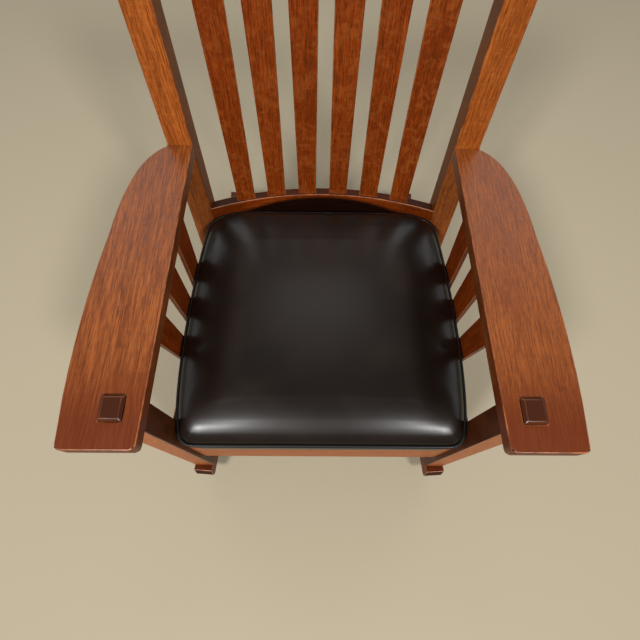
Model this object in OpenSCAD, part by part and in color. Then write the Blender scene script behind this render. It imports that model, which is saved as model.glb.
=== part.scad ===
// Mission rocking chair: an oak frame on two curved rockers, with three
// splayed slats under each arm, a bowed back of six slats and a lift-out seat.
// Lengths are in millimetres and angles in degrees.
// The frame is laid out square to its front legs, with x to the right,
// y from the front of the legs to the back and z along the legs, and is then
// leaned back onto its rockers, where it balances at rest.

/* [Stance] */
// Backward lean of the front legs when the chair is at rest
lean = 7.6; // [0:0.1:10]
// Rake of the back posts behind the front legs
rake = 6; // [2:0.5:9]
// Radius of the underside of the rockers
rocker_r = 1100; // [900:10:1500]
// Distance along the floor from the front of the legs to the point of balance
balance_y = 325; // [300:1:380]

/* [Rockers] */
// Height of each rocker
rocker_h = 43; // [36:1:55]
// Width of each rocker
rocker_w = 44; // [40:1:50]
// Length of rocker in front of the legs
rocker_nose = 13; // [6:1:40]
// Length of rocker behind the back posts
rocker_tail = 267; // [150:1:320]
// Rounding of the lower corners at the ends of the rockers
rocker_end_r = 12; // [4:1:18]

/* [Legs and posts] */
// Thickness of the square front legs
leg_s = 44; // [40:1:50]
// Distance between the front legs
leg_gap = 520; // [500:1:560]
// Width of the back posts
post_w = 44; // [40:1:50]
// Depth of the back posts
post_d = 40; // [36:1:46]
// Distance between the back posts
post_gap = 463; // [440:1:480]
// Distance from the front of the legs to the front of the posts, at floor level
post_front = 418; // [400:1:450]
// Length of the posts, measured up their slope from floor level
post_len = 1020; // [980:1:1080]
// Bevel round the tops of the posts and of the leg tenons
top_bevel = 3; // [1:0.5:4]

/* [Arms] */
// Height of the underside of the arms up the front legs
arm_z = 614; // [590:1:640]
// Thickness of the arms
arm_t = 24; // [20:1:28]
// Overhang of the arms in front of the legs
arm_front = 35; // [25:1:50]
// Width of each arm at its widest
arm_w = 111; // [104:0.5:120]
// Reach of the arms inwards past the legs
arm_lap = 17.5; // [10:0.5:26]
// Distance behind the front of the legs at which the arms are widest
arm_wide_y = 100; // [80:1:140]
// Narrowing of each arm from its widest point to its front end
arm_front_taper = 5.5; // [2:0.5:9]
// Distance behind the front of the legs at which the arms start to sweep in
arm_sweep_y = 300; // [260:1:330]
// Rounding of the front corners of the arms
arm_corner_r = 9; // [4:1:16]
// Width across the chair of the leg tenons that come up through the arms
arm_tenon_w = 32; // [26:1:36]
// Depth of these tenons from front to back
arm_tenon_d = 36; // [28:1:38]
// Distance of these tenons behind the front of the legs
arm_tenon_setback = 1.5; // [1:0.5:6]
// Height of the leg tenons above the arms
arm_tenon_proud = 6; // [4:0.5:10]

/* [Seat rails] */
// Height of the top of the seat rails
rail_top = 355; // [340:1:370]
// Height of the seat rails
rail_h = 160; // [120:1:170]
// Thickness of the seat rails
rail_t = 22; // [18:1:24]
// Distance from the front of the legs to the front rail
rail_setback = 9.5; // [6:0.5:11]

/* [Side slats] */
// Thickness of the side slats
side_slat_t = 8.5; // [7:0.5:12]
// Width of each side slat at the arm
side_slat_top_w = 55; // [50:1:66]
// Width of each side slat at the seat rail
side_slat_low_w = 37; // [34:1:44]
// Spacing of the side slats at the arm
side_slat_top_pitch = 98; // [90:0.5:102]
// Spacing of the side slats at the seat rail
side_slat_low_pitch = 71; // [60:0.5:76]
// Distance of the middle slat behind the middle of the space under the arm, at the arm
side_slat_top_shift = 2; // [0:1:12]
// Distance of the middle slat behind the middle of the space under the arm, at the seat rail
side_slat_low_shift = 12; // [0:1:20]

/* [Back] */
// Depth of the backward bow of the back rails
back_bow = 45; // [25:1:50]
// Thickness of the bowed back rails
back_rail_t = 20; // [16:1:24]
// Height of the top of the lower back rail, up the slope of the posts
low_rail_top = 484; // [470:1:500]
// Height of the lower back rail
low_rail_h = 60; // [45:1:80]
// Height of the top of the crest rail, up the slope of the posts
crest_top = 1002; // [970:1:1010]
// Height of the crest rail
crest_h = 90; // [70:1:110]
// Width of each back slat at the lower rail
back_slat_low_w = 36.5; // [32:0.5:42]
// Width of each back slat at the crest rail
back_slat_top_w = 45; // [38:0.5:48]
// Thickness of each back slat
back_slat_t = 9.5; // [8:0.5:11]
// Spacing of the back slats along the bow at the lower rail
back_slat_pitch = 65; // [60:0.5:68]
// Growth of their spacing up to the crest rail
back_slat_fan = 2; // [0:0.5:3]
// Distance of the back slats behind the front of the bowed rails
back_slat_reveal = 5.5; // [3:0.5:7]

/* [Seat] */
// Clearance of the cushion above the rails
seat_gap = 0.5; // [0.4:0.1:2]
// Height of the piping round the cushion at its front edge
welt_front_z = 436; // [420:1:450]
// Height of the piping round the cushion at its back edge
welt_back_z = 455; // [440:1:470]
// Height of the crown of the cushion above its piping
crown_h = 30; // [20:1:36]
// Distance of the cushion's front edge in front of the legs
cushion_front = 2.5; // [0:0.5:6]
// Distance from the front of the legs to the back edge of the cushion
cushion_back = 481; // [476:1:488]
// Clearance of the cushion beside the front legs
cushion_side_gap = 6; // [4:0.5:10]
// Rounding of the front corners of the cushion
cushion_front_r = 28; // [20:1:40]
// Clearance of the cushion in front of the lower back rail
cushion_back_gap = 1.5; // [0.5:0.5:4]
// Thickness of the leather and wadding over the cushion's filling
cover_t = 8; // [6:0.5:12]
// Radius of the piping
welt_r = 3.5; // [2:0.5:4.5]
// Width of the bars of the seat frame
seat_bar_w = 50; // [40:1:60]
// Thickness of the bars of the seat frame
seat_bar_t = 22; // [18:1:24]

/* [Hidden] */
$fn = 48;
// Facets of the long arcs of the rockers and back rails
arc_fn = 360;
// How far a cut runs past the surface that it opens
over = 2;

// Slats under each arm and in the back, as many as there are nodes for them
side_slats = 3;
back_slats = 6;
// Depth, thickness and shoulder of the tenons on the seat and back rails
rail_tenon_len = 14;
rail_tenon_t = 10;
rail_shoulder = 12;
// Length of the tenons of the bowed rails inside the rails
bow_tenon_root = 6;
// Depth of the grooves that the ends of the slats sit in
slat_seat = 9;
// Size and depth of the tenons at the feet of the legs and posts
foot_tenon_s = 24;
foot_tenon_len = 20;
// Sideways and backward reach of the last curve of an arm before its post
arm_neck_x = 39;
arm_neck_y = 20;
// Share of the sweep at which the curve of the arm is steered
arm_sweep_share = 0.54;
// Points on the long curve, on the sweep and on a corner of an arm
arm_edge_steps = 8;
arm_sweep_steps = 12;
corner_steps = 6;

// Cleats under the seat frame
cleat_w = 25;
cleat_h = 25;
cleat_end_gap = 12;
// Clearance of the side cleats below the seat frame, which sits on the front and rear ones
side_cleat_ease = 0.2;
// Blocks in the corners below the cleats
block_leg = 60;
block_h = 40;

// Screws of the cleats and arms, and the longer ones in the rockers
screw_d = 4.5;
screw_head_d = 9;
screw_head_t = 3;
screw_slot_w = 1.2;
screw_slot_depth = 1.2;
screw_fit = 0.15;
screw_bite = 12;
cleat_screw_spacing = 150;
rocker_screw_d = 7;
rocker_screw_head_d = 13;
rocker_screw_bite = 55;
rocker_screw_sink = 6;
arm_screw_bite = 42;
arm_screw_sink = 9;
arm_screw_drop = 2;

// Seat parts
seat_play = 2.5;
web_t = 1.5;
web_w = 50;
long_webs = 5;
cross_webs = 4;
web_end = 8;
dust_t = 0.8;
dust_inset = 34;
// Piping, drawn-in sides and rounded lower edge of the cushion
boxing_inset = 4;
boxing_waist = 2.5;
bottom_round = 5;
// Corner of the cushion in front of the back posts
corner_out = 6.5;
corner_in = 2.5;
corner_front = 18.5;
// Places across the back of the cushion as shares of its half width
back_shares = [1, 0.94, 0.87, 0.79, 0.7, 0.35, 0];
// Places along the cushion's sides towards which they are bowed
side_bow_front = 105;
side_bow_back = 335;
// Powers that shape the crown
crown_power = 2.4;
crown_root = 0.625;
// Sizes of the crown's rings as shares of the outline
crown_shares = [0.985, 0.95, 0.86, 0.7, 0.5, 0.25, 0.06];
core_shares = [0.97, 0.88, 0.7, 0.45, 0.15];
// Points on a quarter of a front corner, on a side and along the front edge
cushion_corner_steps = 4;
cushion_side_steps = 9;
cushion_edge_steps = 3;

// Places that follow from the sizes above
leg_x = (leg_gap + leg_s)/2;
leg_y = leg_s/2;
post_x = (post_gap + post_w)/2;
post_y = post_d/2;
arm_top = arm_z + arm_t;
arm_inner_x = leg_gap/2 - arm_lap;
rail_low = rail_top - rail_h;
back_r = (pow(post_gap/2, 2) + back_bow*back_bow)/(2*back_bow);
crest_low = crest_top - crest_h;

function floor_y(y, z) = y*cos(lean) + z*sin(lean);
function post_face(z) = post_front + z*tan(rake);

// Centre of the rockers' arcs, seen along the legs and along the posts
arc_y = balance_y*cos(lean) - rocker_r*sin(lean);
arc_z = balance_y*sin(lean) + rocker_r*cos(lean);
arc_post_y = (arc_y - post_front)*cos(rake) - arc_z*sin(rake);
arc_post_z = (arc_y - post_front)*sin(rake) + arc_z*cos(rake);

// Heights at which a leg and a post meet the top and the underside of a rocker
function leg_meets(r) = arc_z - sqrt(r*r - pow(leg_y - arc_y, 2));
function post_meets(r) = arc_post_z - sqrt(r*r - pow(post_y - arc_post_y, 2));
leg_foot = leg_meets(rocker_r - rocker_h);
leg_under = leg_meets(rocker_r);
post_foot = post_meets(rocker_r - rocker_h);
post_under = post_meets(rocker_r);

// Where the feet stand on the floor plan, and the taper of the rockers
leg_floor_y = floor_y(leg_y, leg_foot);
post_axis_y = post_front + post_y*cos(rake) + post_foot*sin(rake);
post_axis_z = post_foot*cos(rake) - post_y*sin(rake);
post_floor_y = floor_y(post_axis_y, post_axis_z);
rocker_taper = atan((leg_x - post_x)/(post_floor_y - leg_floor_y));
balance_x = leg_x - (balance_y - leg_floor_y)*tan(rocker_taper);

// Angles of the two ends of the rockers about the centre of their arcs
leg_front_y = floor_y(0, leg_foot);
post_rear_y = post_floor_y + post_y/cos(lean + rake);
nose_reach = (balance_y - leg_front_y + rocker_nose)/cos(rocker_taper);
tail_reach = (post_rear_y + rocker_tail - balance_y)/cos(rocker_taper);
nose_angle = asin(nose_reach/(rocker_r - rocker_h));
tail_angle = asin(tail_reach/(rocker_r - rocker_h));
function end_reach(a) = rocker_r*sin(a) - rocker_end_r*(cos(a) + sin(a) - 1);
// Middle of the chair from front to back, which is its origin
middle_y = balance_y + (end_reach(tail_angle) - end_reach(nose_angle))*cos(rocker_taper)/2;

// The slope of the sides from the legs in to the posts
rail_mid = rail_top - rail_h/2;
side_end = post_face(rail_mid) + post_y - leg_y;
side_taper = atan((leg_x - post_x)/side_end);
function slat_face_x(y) = leg_x - side_slat_t/2/cos(side_taper) - (y - leg_y)*tan(side_taper);

// Levels of the seat
seat_base = rail_top + seat_gap;
frame_top = seat_base - 2*web_t;
frame_low = frame_top - seat_bar_t;
cleat_low = frame_low - cleat_h;
seat_front = rail_setback + rail_t + seat_play;
seat_back = post_face(frame_low) - seat_play;
seat_front_half = leg_gap/2 - seat_play;
seat_back_half = leg_x - rail_t/2 - (seat_back - leg_y)*tan(side_taper) - seat_play;

// Frames of reference
module rested() { translate([0, -middle_y, 0]) rotate([-lean, 0, 0]) children(); }
module on_side(side) {
    if (side < 0) mirror([1, 0, 0]) children();
    else children();
}
module along_side() { translate([leg_x, leg_y, 0]) rotate([0, 0, side_taper]) children(); }
module along_post() { translate([0, post_front, 0]) rotate([-rake, 0, 0]) children(); }
module along_rocker() {
    translate([balance_x, balance_y - middle_y, 0]) rotate([0, 0, rocker_taper]) children();
}
// Turns an outline drawn in y and z into a slab of thickness t across x
module slab(t) { rotate([90, 0, 90]) linear_extrude(t, center = true) children(); }

// Shared shapes
module bevelled_outline(w, h, b) {
    polygon([[-w/2, 0], [w/2, 0], [w/2, h - b], [w/2 - b, h], [b - w/2, h], [-w/2, h - b]]);
}
module bevelled_block(w, d, h, b) {
    intersection() {
        translate([0, d/2, 0]) rotate([90, 0, 0]) linear_extrude(d) bevelled_outline(w, h, b);
        slab(w) bevelled_outline(d, h, b);
    }
}
module screw(d, head_d, length) {
    difference() {
        cylinder(d = head_d, h = screw_head_t);
        translate([-head_d/2 - over, -screw_slot_w/2, -over])
            cube([head_d + 2*over, screw_slot_w, over + screw_slot_depth]);
    }
    translate([0, 0, screw_head_t]) cylinder(d = d, h = length);
}
// The hole for a screw, with a counterbore that starts the given depth before its head
module screw_hole(d, head_d, length, sink) {
    translate([0, 0, -sink]) cylinder(d = head_d + 2*screw_fit, h = sink + screw_head_t);
    cylinder(d = d + 2*screw_fit, h = screw_head_t + length);
}

// Rockers, drawn along y from the point of balance
module end_trim() {
    difference() {
        translate([-over, -over]) square(rocker_end_r + over);
        translate([rocker_end_r, rocker_end_r]) circle(rocker_end_r);
    }
}
module rocker_outline() {
    reach = 2*rocker_r;
    translate([0, rocker_r]) difference() {
        intersection() {
            difference() {
                circle(rocker_r, $fn = arc_fn);
                circle(rocker_r - rocker_h, $fn = arc_fn);
            }
            polygon([[0, 0], [-reach*sin(nose_angle), -reach*cos(nose_angle)], [0, -reach],
                [reach*sin(tail_angle), -reach*cos(tail_angle)]]);
        }
        rotate(-nose_angle) translate([0, -rocker_r]) end_trim();
        rotate(tail_angle) translate([0, -rocker_r]) mirror([1, 0]) end_trim();
    }
}
// All that stands on the rockers is cut to the hollow of their upper face
module above_rocker() {
    along_rocker() slab(leg_gap) translate([0, rocker_r]) circle(rocker_r - rocker_h, $fn = arc_fn);
}
module leg_foot_tenon() {
    translate([leg_x - foot_tenon_s/2, leg_y - foot_tenon_s/2, leg_foot - foot_tenon_len])
        cube([foot_tenon_s, foot_tenon_s, 2*foot_tenon_len]);
}
module post_foot_tenon() {
    along_post() translate([post_x - foot_tenon_s/2, post_y - foot_tenon_s/2, post_foot - foot_tenon_len])
        cube([foot_tenon_s, foot_tenon_s, 2*foot_tenon_len]);
}
module at_leg_screw() { translate([leg_x, leg_y, leg_under + rocker_screw_sink]) children(); }
module at_post_screw() {
    along_post() translate([post_x, post_y, post_under + rocker_screw_sink]) children();
}
module rocker_screw_hole() {
    screw_hole(rocker_screw_d, rocker_screw_head_d, rocker_screw_bite, rocker_screw_sink + over);
}
module rocker(side) {
    color("saddlebrown") on_side(side) difference() {
        along_rocker() slab(rocker_w) rocker_outline();
        rested() {
            leg_foot_tenon();
            post_foot_tenon();
            at_leg_screw() rocker_screw_hole();
            at_post_screw() rocker_screw_hole();
        }
    }
}

// Legs and posts
module leg_blank() { translate([leg_gap/2, 0, 0]) cube([leg_s, leg_s, arm_z]); }
module front_leg(side) {
    color("peru") on_side(side) difference() {
        union() {
            intersection() {
                rested() leg_blank();
                above_rocker();
            }
            rested() {
                leg_foot_tenon();
                arm_tenon();
            }
        }
        rested() {
            front_rail_tenon();
            along_side() side_rail_tenon(0);
            at_leg_screw() rocker_screw_hole();
        }
    }
}
module arm_tenon() {
    translate([leg_x, arm_tenon_setback + arm_tenon_d/2, arm_z])
        bevelled_block(arm_tenon_w, arm_tenon_d, arm_t + arm_tenon_proud, top_bevel);
}
module post_blank() {
    along_post() translate([post_x, post_y, 0]) bevelled_block(post_w, post_d, post_len, top_bevel);
}
// All that lies behind the front of a post, for what ends against it
module behind_post_face() {
    along_post() translate([post_gap/2 - over, 0, 0]) cube([post_w + 2*over, 2*post_d, post_len]);
}
module at_arm_screw() {
    along_post()
        translate([post_x, post_d - arm_screw_sink, (arm_z + arm_t/2 - arm_screw_drop)/cos(rake)])
        rotate([90, 0, 0]) children();
}
module arm_screw_hole() {
    screw_hole(screw_d, screw_head_d, post_d - arm_screw_sink - screw_head_t + arm_screw_bite,
        arm_screw_sink + over);
}
module back_post(side) {
    color("sienna") on_side(side) difference() {
        union() {
            intersection() {
                rested() post_blank();
                above_rocker();
            }
            rested() post_foot_tenon();
        }
        rested() {
            along_side() side_rail_tenon(1);
            along_post() {
                rear_rail_tenon();
                back_rail_tenon(low_rail_top - low_rail_h, low_rail_h);
                back_rail_tenon(crest_low, crest_h);
            }
            at_post_screw() rocker_screw_hole();
            at_arm_screw() arm_screw_hole();
        }
    }
}

// Arms, drawn for the right side of the chair
function arc_points(c, r, a, b, n) = [for (i = [0:n]) c + r*[cos(a + (b - a)*i/n), sin(a + (b - a)*i/n)]];
function bezier(p, t) = pow(1 - t, 3)*p[0] + 3*t*pow(1 - t, 2)*p[1] + 3*t*t*(1 - t)*p[2] + pow(t, 3)*p[3];
function arm_edge(y) = arm_inner_x + arm_w - arm_front_taper*pow((y - arm_wide_y)/(arm_wide_y + arm_front), 2);
arm_end_y = post_face(arm_z);
arm_edge_slope = -2*arm_front_taper*(arm_sweep_y - arm_wide_y)/pow(arm_wide_y + arm_front, 2);
arm_sweep_run = arm_sweep_share*(arm_end_y - arm_sweep_y);
arm_sweep = [[arm_edge(arm_sweep_y), arm_sweep_y],
    [arm_edge(arm_sweep_y) + arm_edge_slope*arm_sweep_run/2, arm_sweep_y + arm_sweep_run],
    [post_gap/2 + post_w + arm_neck_x, arm_end_y - arm_neck_y],
    [post_gap/2 + post_w, arm_end_y]];
arm_points = concat(
    arc_points([arm_inner_x + arm_corner_r, arm_corner_r - arm_front], arm_corner_r, 180, 270, corner_steps),
    arc_points([arm_edge(-arm_front) - arm_corner_r, arm_corner_r - arm_front], arm_corner_r, 270, 360,
        corner_steps),
    [for (i = [1:arm_edge_steps - 1]) let (y = arm_sweep_y*i/arm_edge_steps) [arm_edge(y), y]],
    [for (i = [0:arm_sweep_steps]) bezier(arm_sweep, i/arm_sweep_steps)],
    [[post_gap/2 + post_w, arm_end_y + post_y], [post_gap/2, arm_end_y + post_y]]);
module arm(side) {
    color("sienna") on_side(side) rested() difference() {
        translate([0, 0, arm_z]) linear_extrude(arm_t) polygon(arm_points);
        behind_post_face();
        translate([leg_x - arm_tenon_w/2, arm_tenon_setback, arm_z - over])
            cube([arm_tenon_w, arm_tenon_d, arm_t + 2*over]);
        for (n = [1:side_slats]) along_side() side_slat_board(n);
        at_arm_screw() arm_screw_hole();
    }
}

// Seat rails
module front_rail_tenon() {
    reach = leg_gap/2 + rail_tenon_len;
    translate([-reach, rail_setback + (rail_t - rail_tenon_t)/2, rail_low + rail_shoulder])
        cube([2*reach, rail_tenon_t, rail_h - 2*rail_shoulder]);
}
module front_seat_rail() {
    color("peru") rested() difference() {
        union() {
            translate([-leg_gap/2, rail_setback, rail_low]) cube([leg_gap, rail_t, rail_h]);
            front_rail_tenon();
        }
        for (x = [-1:1]) at_front_cleat_screw(x) cleat_screw_hole();
    }
}
module rear_rail_bar(reach, t, inset) {
    translate([-reach, (post_d - t)/2, rail_low/cos(rake) + inset])
        cube([2*reach, t, rail_h/cos(rake) - 2*inset]);
}
module rear_rail_tenon() { rear_rail_bar(post_gap/2 + rail_tenon_len, rail_tenon_t, rail_shoulder); }
module rear_seat_rail() {
    color("sienna") rested() difference() {
        along_post() {
            rear_rail_bar(post_gap/2, rail_t, 0);
            rear_rail_tenon();
        }
        for (x = [-1:1]) at_rear_cleat_screw(x) cleat_screw_hole();
    }
}
// The side rail's tenons run from the middle of the leg, and to the middle of the post
module side_rail_tenon(end) {
    inner = (end == 0) ? 0 : side_end/cos(side_taper) - post_d;
    translate([-rail_tenon_t/2, inner, rail_low + rail_shoulder])
        cube([rail_tenon_t, (end == 0) ? leg_s : post_d, rail_h - 2*rail_shoulder]);
}
module side_rail_board() {
    translate([-rail_t/2, 0, rail_low]) cube([rail_t, side_end/cos(side_taper), rail_h]);
}
module side_seat_rail(side) {
    color("sienna") on_side(side) rested() difference() {
        union() {
            difference() {
                along_side() side_rail_board();
                leg_blank();
                post_blank();
            }
            along_side() {
                side_rail_tenon(0);
                side_rail_tenon(1);
            }
        }
        along_side() {
            for (n = [1:side_slats]) side_slat_board(n);
            for (y = [-1:1]) at_side_cleat_screw(y) cleat_screw_hole();
        }
    }
}

// Side slats widen and fan out upwards about the middle of the space between leg and post
function between(a, b, z) = a + (b - a)*(z - rail_top)/(arm_z - rail_top);
function side_slat_y(n, edge, z) = post_face(z)/2/cos(side_taper)
    + between(side_slat_low_shift, side_slat_top_shift, z)
    + (n - (side_slats + 1)/2)*between(side_slat_low_pitch, side_slat_top_pitch, z)
    + edge*between(side_slat_low_w, side_slat_top_w, z)/2;
module side_slat_board(n) {
    low = rail_top - slat_seat;
    high = arm_z + slat_seat;
    slab(side_slat_t) polygon([[side_slat_y(n, -1, low), low], [side_slat_y(n, 1, low), low],
        [side_slat_y(n, 1, high), high], [side_slat_y(n, -1, high), high]]);
}
module side_slat(side, n) {
    color("saddlebrown") on_side(side) rested() along_side() side_slat_board(n);
}

// Bowed back rails and their slats, drawn along the slope of the posts
module back_rail_tenon(z, h) {
    reach = post_gap/2 + rail_tenon_len;
    translate([-reach, (back_rail_t - rail_tenon_t)/2, z + rail_shoulder])
        cube([2*reach, rail_tenon_t, h - 2*rail_shoulder]);
}
module bow_outline() {
    intersection() {
        translate([0, back_bow - back_r]) difference() {
            circle(back_r + back_rail_t, $fn = arc_fn);
            circle(back_r, $fn = arc_fn);
        }
        translate([-post_gap/2, -over]) square([post_gap, back_bow + 2*back_rail_t + over]);
    }
}
module back_rail_ends(z, h) {
    cut = post_gap/2 - bow_tenon_root;
    difference() {
        back_rail_tenon(z, h);
        translate([-cut, -over, z]) cube([2*cut, back_rail_t + 2*over, h]);
    }
}
module back_slat_board(n) {
    place = n - (back_slats + 1)/2;
    turn = place*back_slat_pitch/(back_r + back_slat_reveal + back_slat_t/2)*180/PI;
    low = low_rail_top - slat_seat;
    high = crest_low + slat_seat;
    shift = place*back_slat_fan;
    translate([0, back_bow - back_r, 0]) rotate([0, 0, -turn])
        translate([0, back_r + back_slat_reveal + back_slat_t, 0]) rotate([90, 0, 0])
        linear_extrude(back_slat_t)
        polygon([[-back_slat_low_w/2, low], [back_slat_low_w/2, low],
            [shift + back_slat_top_w/2, high], [shift - back_slat_top_w/2, high]]);
}
module bowed_rail(z, h) {
    difference() {
        union() {
            translate([0, 0, z]) linear_extrude(h) bow_outline();
            back_rail_ends(z, h);
        }
        for (n = [1:back_slats]) back_slat_board(n);
    }
}
module lower_back_rail() {
    color("sienna") rested() along_post() bowed_rail(low_rail_top - low_rail_h, low_rail_h);
}
module crest_rail() { color("sienna") rested() along_post() bowed_rail(crest_low, crest_h); }
module back_slat(n) { color("saddlebrown") rested() along_post() back_slat_board(n); }

// Cleats that the seat frame rests on, and the blocks below them
module cleat_screw_hole() {
    screw_hole(screw_d, screw_head_d, cleat_w - screw_head_t + screw_bite, over);
}
module at_front_cleat_screw(x) {
    translate([x*cleat_screw_spacing, rail_setback + rail_t + cleat_w, cleat_low + cleat_h/2])
        rotate([90, 0, 0]) children();
}
rear_cleat_y = post_face(cleat_low) + (post_d - rail_t)/2/cos(rake) - cleat_w;
module at_rear_cleat_screw(x) {
    translate([x*cleat_screw_spacing, rear_cleat_y, cleat_low + cleat_h/2]) rotate([-90, 0, 0]) children();
}
module at_side_cleat_screw(y) {
    translate([-rail_t/2 - cleat_w, side_end/2 + y*cleat_screw_spacing, cleat_low + cleat_h/2])
        rotate([0, 90, 0]) children();
}
module front_cleat() {
    half = leg_gap/2 - cleat_end_gap;
    color("tan") rested() difference() {
        translate([-half, rail_setback + rail_t, cleat_low]) cube([2*half, cleat_w, cleat_h]);
        for (x = [-1:1]) at_front_cleat_screw(x) cleat_screw_hole();
    }
}
module rear_cleat() {
    half = post_gap/2 - cleat_end_gap;
    color("tan") rested() difference() {
        translate([-half, rear_cleat_y, cleat_low]) cube([2*half, cleat_w + rail_t/2, cleat_h]);
        along_post() rear_rail_bar(post_gap/2, rail_t, 0);
        for (x = [-1:1]) at_rear_cleat_screw(x) cleat_screw_hole();
    }
}
module side_cleat(side) {
    start = leg_s + cleat_w;
    color("tan") on_side(side) rested() along_side() difference() {
        translate([-rail_t/2 - cleat_w, start, cleat_low])
            cube([cleat_w, side_end - 2*start, cleat_h - side_cleat_ease]);
        for (y = [-1:1]) at_side_cleat_screw(y) cleat_screw_hole();
    }
}
module front_corner_block(side) {
    back = rail_setback + rail_t;
    inner = leg_gap/2 - block_leg;
    color("tan") on_side(side) rested() difference() {
        translate([0, 0, cleat_low - block_h]) linear_extrude(block_h)
            polygon([[inner, back], [leg_gap/2, back], [leg_gap/2, leg_s], [leg_x, leg_s],
                [leg_x, leg_s + block_leg]]);
        along_side() side_rail_board();
    }
}
module rear_corner_block(side) {
    back = (post_d - rail_t)/2;
    color("tan") on_side(side) rested() difference() {
        intersection() {
            along_post() translate([0, 0, cleat_low - 2*block_h]) linear_extrude(3*block_h)
                polygon([[post_gap/2 - block_leg, back], [post_x, -block_leg], [post_x, 0], [post_gap/2, 0],
                    [post_gap/2, back]]);
            translate([0, 0, cleat_low - block_h]) cube([leg_gap, 2*post_front, block_h]);
        }
        along_side() side_rail_board();
    }
}

// Screws and plugs
module both_sides() {
    children();
    mirror([1, 0, 0]) children();
}
module rocker_screws() {
    color("goldenrod") both_sides() rested() {
        at_leg_screw() screw(rocker_screw_d, rocker_screw_head_d, rocker_screw_bite);
        at_post_screw() screw(rocker_screw_d, rocker_screw_head_d, rocker_screw_bite);
    }
}
module arm_screws() {
    color("goldenrod") both_sides() rested() at_arm_screw()
        screw(screw_d, screw_head_d, post_d - arm_screw_sink - screw_head_t + arm_screw_bite);
}
module arm_screw_plugs() {
    color("sienna") both_sides() rested() at_arm_screw() translate([0, 0, -arm_screw_sink])
        cylinder(d = screw_head_d + 2*screw_fit, h = arm_screw_sink);
}
module cleat_screws() {
    length = cleat_w - screw_head_t + screw_bite;
    color("goldenrod") rested() {
        for (x = [-1:1]) {
            at_front_cleat_screw(x) screw(screw_d, screw_head_d, length);
            at_rear_cleat_screw(x) screw(screw_d, screw_head_d, length);
        }
        both_sides() along_side() for (y = [-1:1]) at_side_cleat_screw(y)
            screw(screw_d, screw_head_d, length);
    }
}

// Frame of the seat, its webbing and the cloth below it
module seat_outline(inset) {
    front = seat_front_half - inset;
    back = seat_back_half - inset;
    polygon([[-front, seat_front + inset], [front, seat_front + inset],
        [back, seat_back - inset], [-back, seat_back - inset]]);
}
module seat_bar(low_y, high_y, side) {
    left = (side > 0) ? 0 : -leg_gap;
    right = (side < 0) ? 0 : leg_gap;
    color("burlywood") rested() translate([0, 0, frame_low]) linear_extrude(seat_bar_t) difference() {
        intersection() {
            seat_outline(0);
            translate([left, low_y]) square([right - left, high_y - low_y]);
        }
        seat_outline(seat_bar_w);
    }
}
bar_front = seat_front + seat_bar_w;
bar_back = seat_back - seat_bar_w;
module seat_webbing_long() {
    step = (2*seat_back_half - 2*web_end - web_w)/(long_webs - 1);
    color("darkkhaki") rested() for (i = [0:long_webs - 1])
        translate([(i - (long_webs - 1)/2)*step - web_w/2, seat_front + web_end, frame_top])
            cube([web_w, seat_back - seat_front - 2*web_end, web_t]);
}
module seat_webbing_cross() {
    step = (seat_back - seat_front - 2*seat_bar_w - web_w)/(cross_webs - 1);
    color("darkkhaki") rested() for (i = [0:cross_webs - 1])
        translate([web_end - seat_back_half, bar_front + i*step, frame_top + web_t])
            cube([2*seat_back_half - 2*web_end, web_w, web_t]);
}
module seat_dust_cover() {
    color("dimgray") rested() translate([0, 0, frame_low - dust_t]) linear_extrude(dust_t)
        seat_outline(dust_inset);
}

// Cushion. Its outline is drawn at the height of the piping beside the posts.
welt_mid_z = (welt_front_z + welt_back_z)/2;
front_half = leg_gap/2 - cushion_side_gap;
back_corner = [post_gap/2 + corner_out, post_face(welt_mid_z) - corner_front];
back_half = post_gap/2 - corner_in;
function bow_face(x) = post_face(welt_mid_z) + back_bow - back_r + sqrt(back_r*back_r - x*x);
cushion_side = [[front_half, cushion_front_r - cushion_front],
    [slat_face_x(side_bow_front), side_bow_front], [slat_face_x(side_bow_back), side_bow_back],
    back_corner];
cushion_half = concat(
    [for (i = [0:cushion_edge_steps - 1])
        [(front_half - cushion_front_r)*i/cushion_edge_steps, -cushion_front]],
    arc_points([front_half - cushion_front_r, cushion_front_r - cushion_front], cushion_front_r,
        270, 360, cushion_corner_steps),
    [for (i = [1:cushion_side_steps]) bezier(cushion_side, i/cushion_side_steps)],
    [for (s = back_shares) [back_half*s, min(cushion_back, bow_face(back_half*s) - cushion_back_gap)]]);
cushion_loop = concat(cushion_half,
    [for (i = [len(cushion_half) - 2:-1:1]) [-cushion_half[i][0], cushion_half[i][1]]]);
loop_n = len(cushion_loop);
function outward(i) =
    let (a = cushion_loop[(i + loop_n - 1)%loop_n], b = cushion_loop[(i + 1)%loop_n], d = b - a)
    [d[1], -d[0]]/norm(d);
function inset_point(i, d) = cushion_loop[i] - d*outward(i);
centre = [0, (cushion_back - cushion_front)/2];
function shrunk(i, d, s) = centre + s*(inset_point(i, d) - centre);
function welt_z(y) = welt_front_z + (welt_back_z - welt_front_z)*(y + cushion_front)/(cushion_back + cushion_front);
function crown(s) = crown_h*pow(1 - pow(s, crown_power), crown_root);
// The back of the cushion leans with the posts
function leaning(p, z) = [p[0], p[1] + (z - welt_mid_z)*tan(rake)*p[1]/cushion_back, z];
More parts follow.
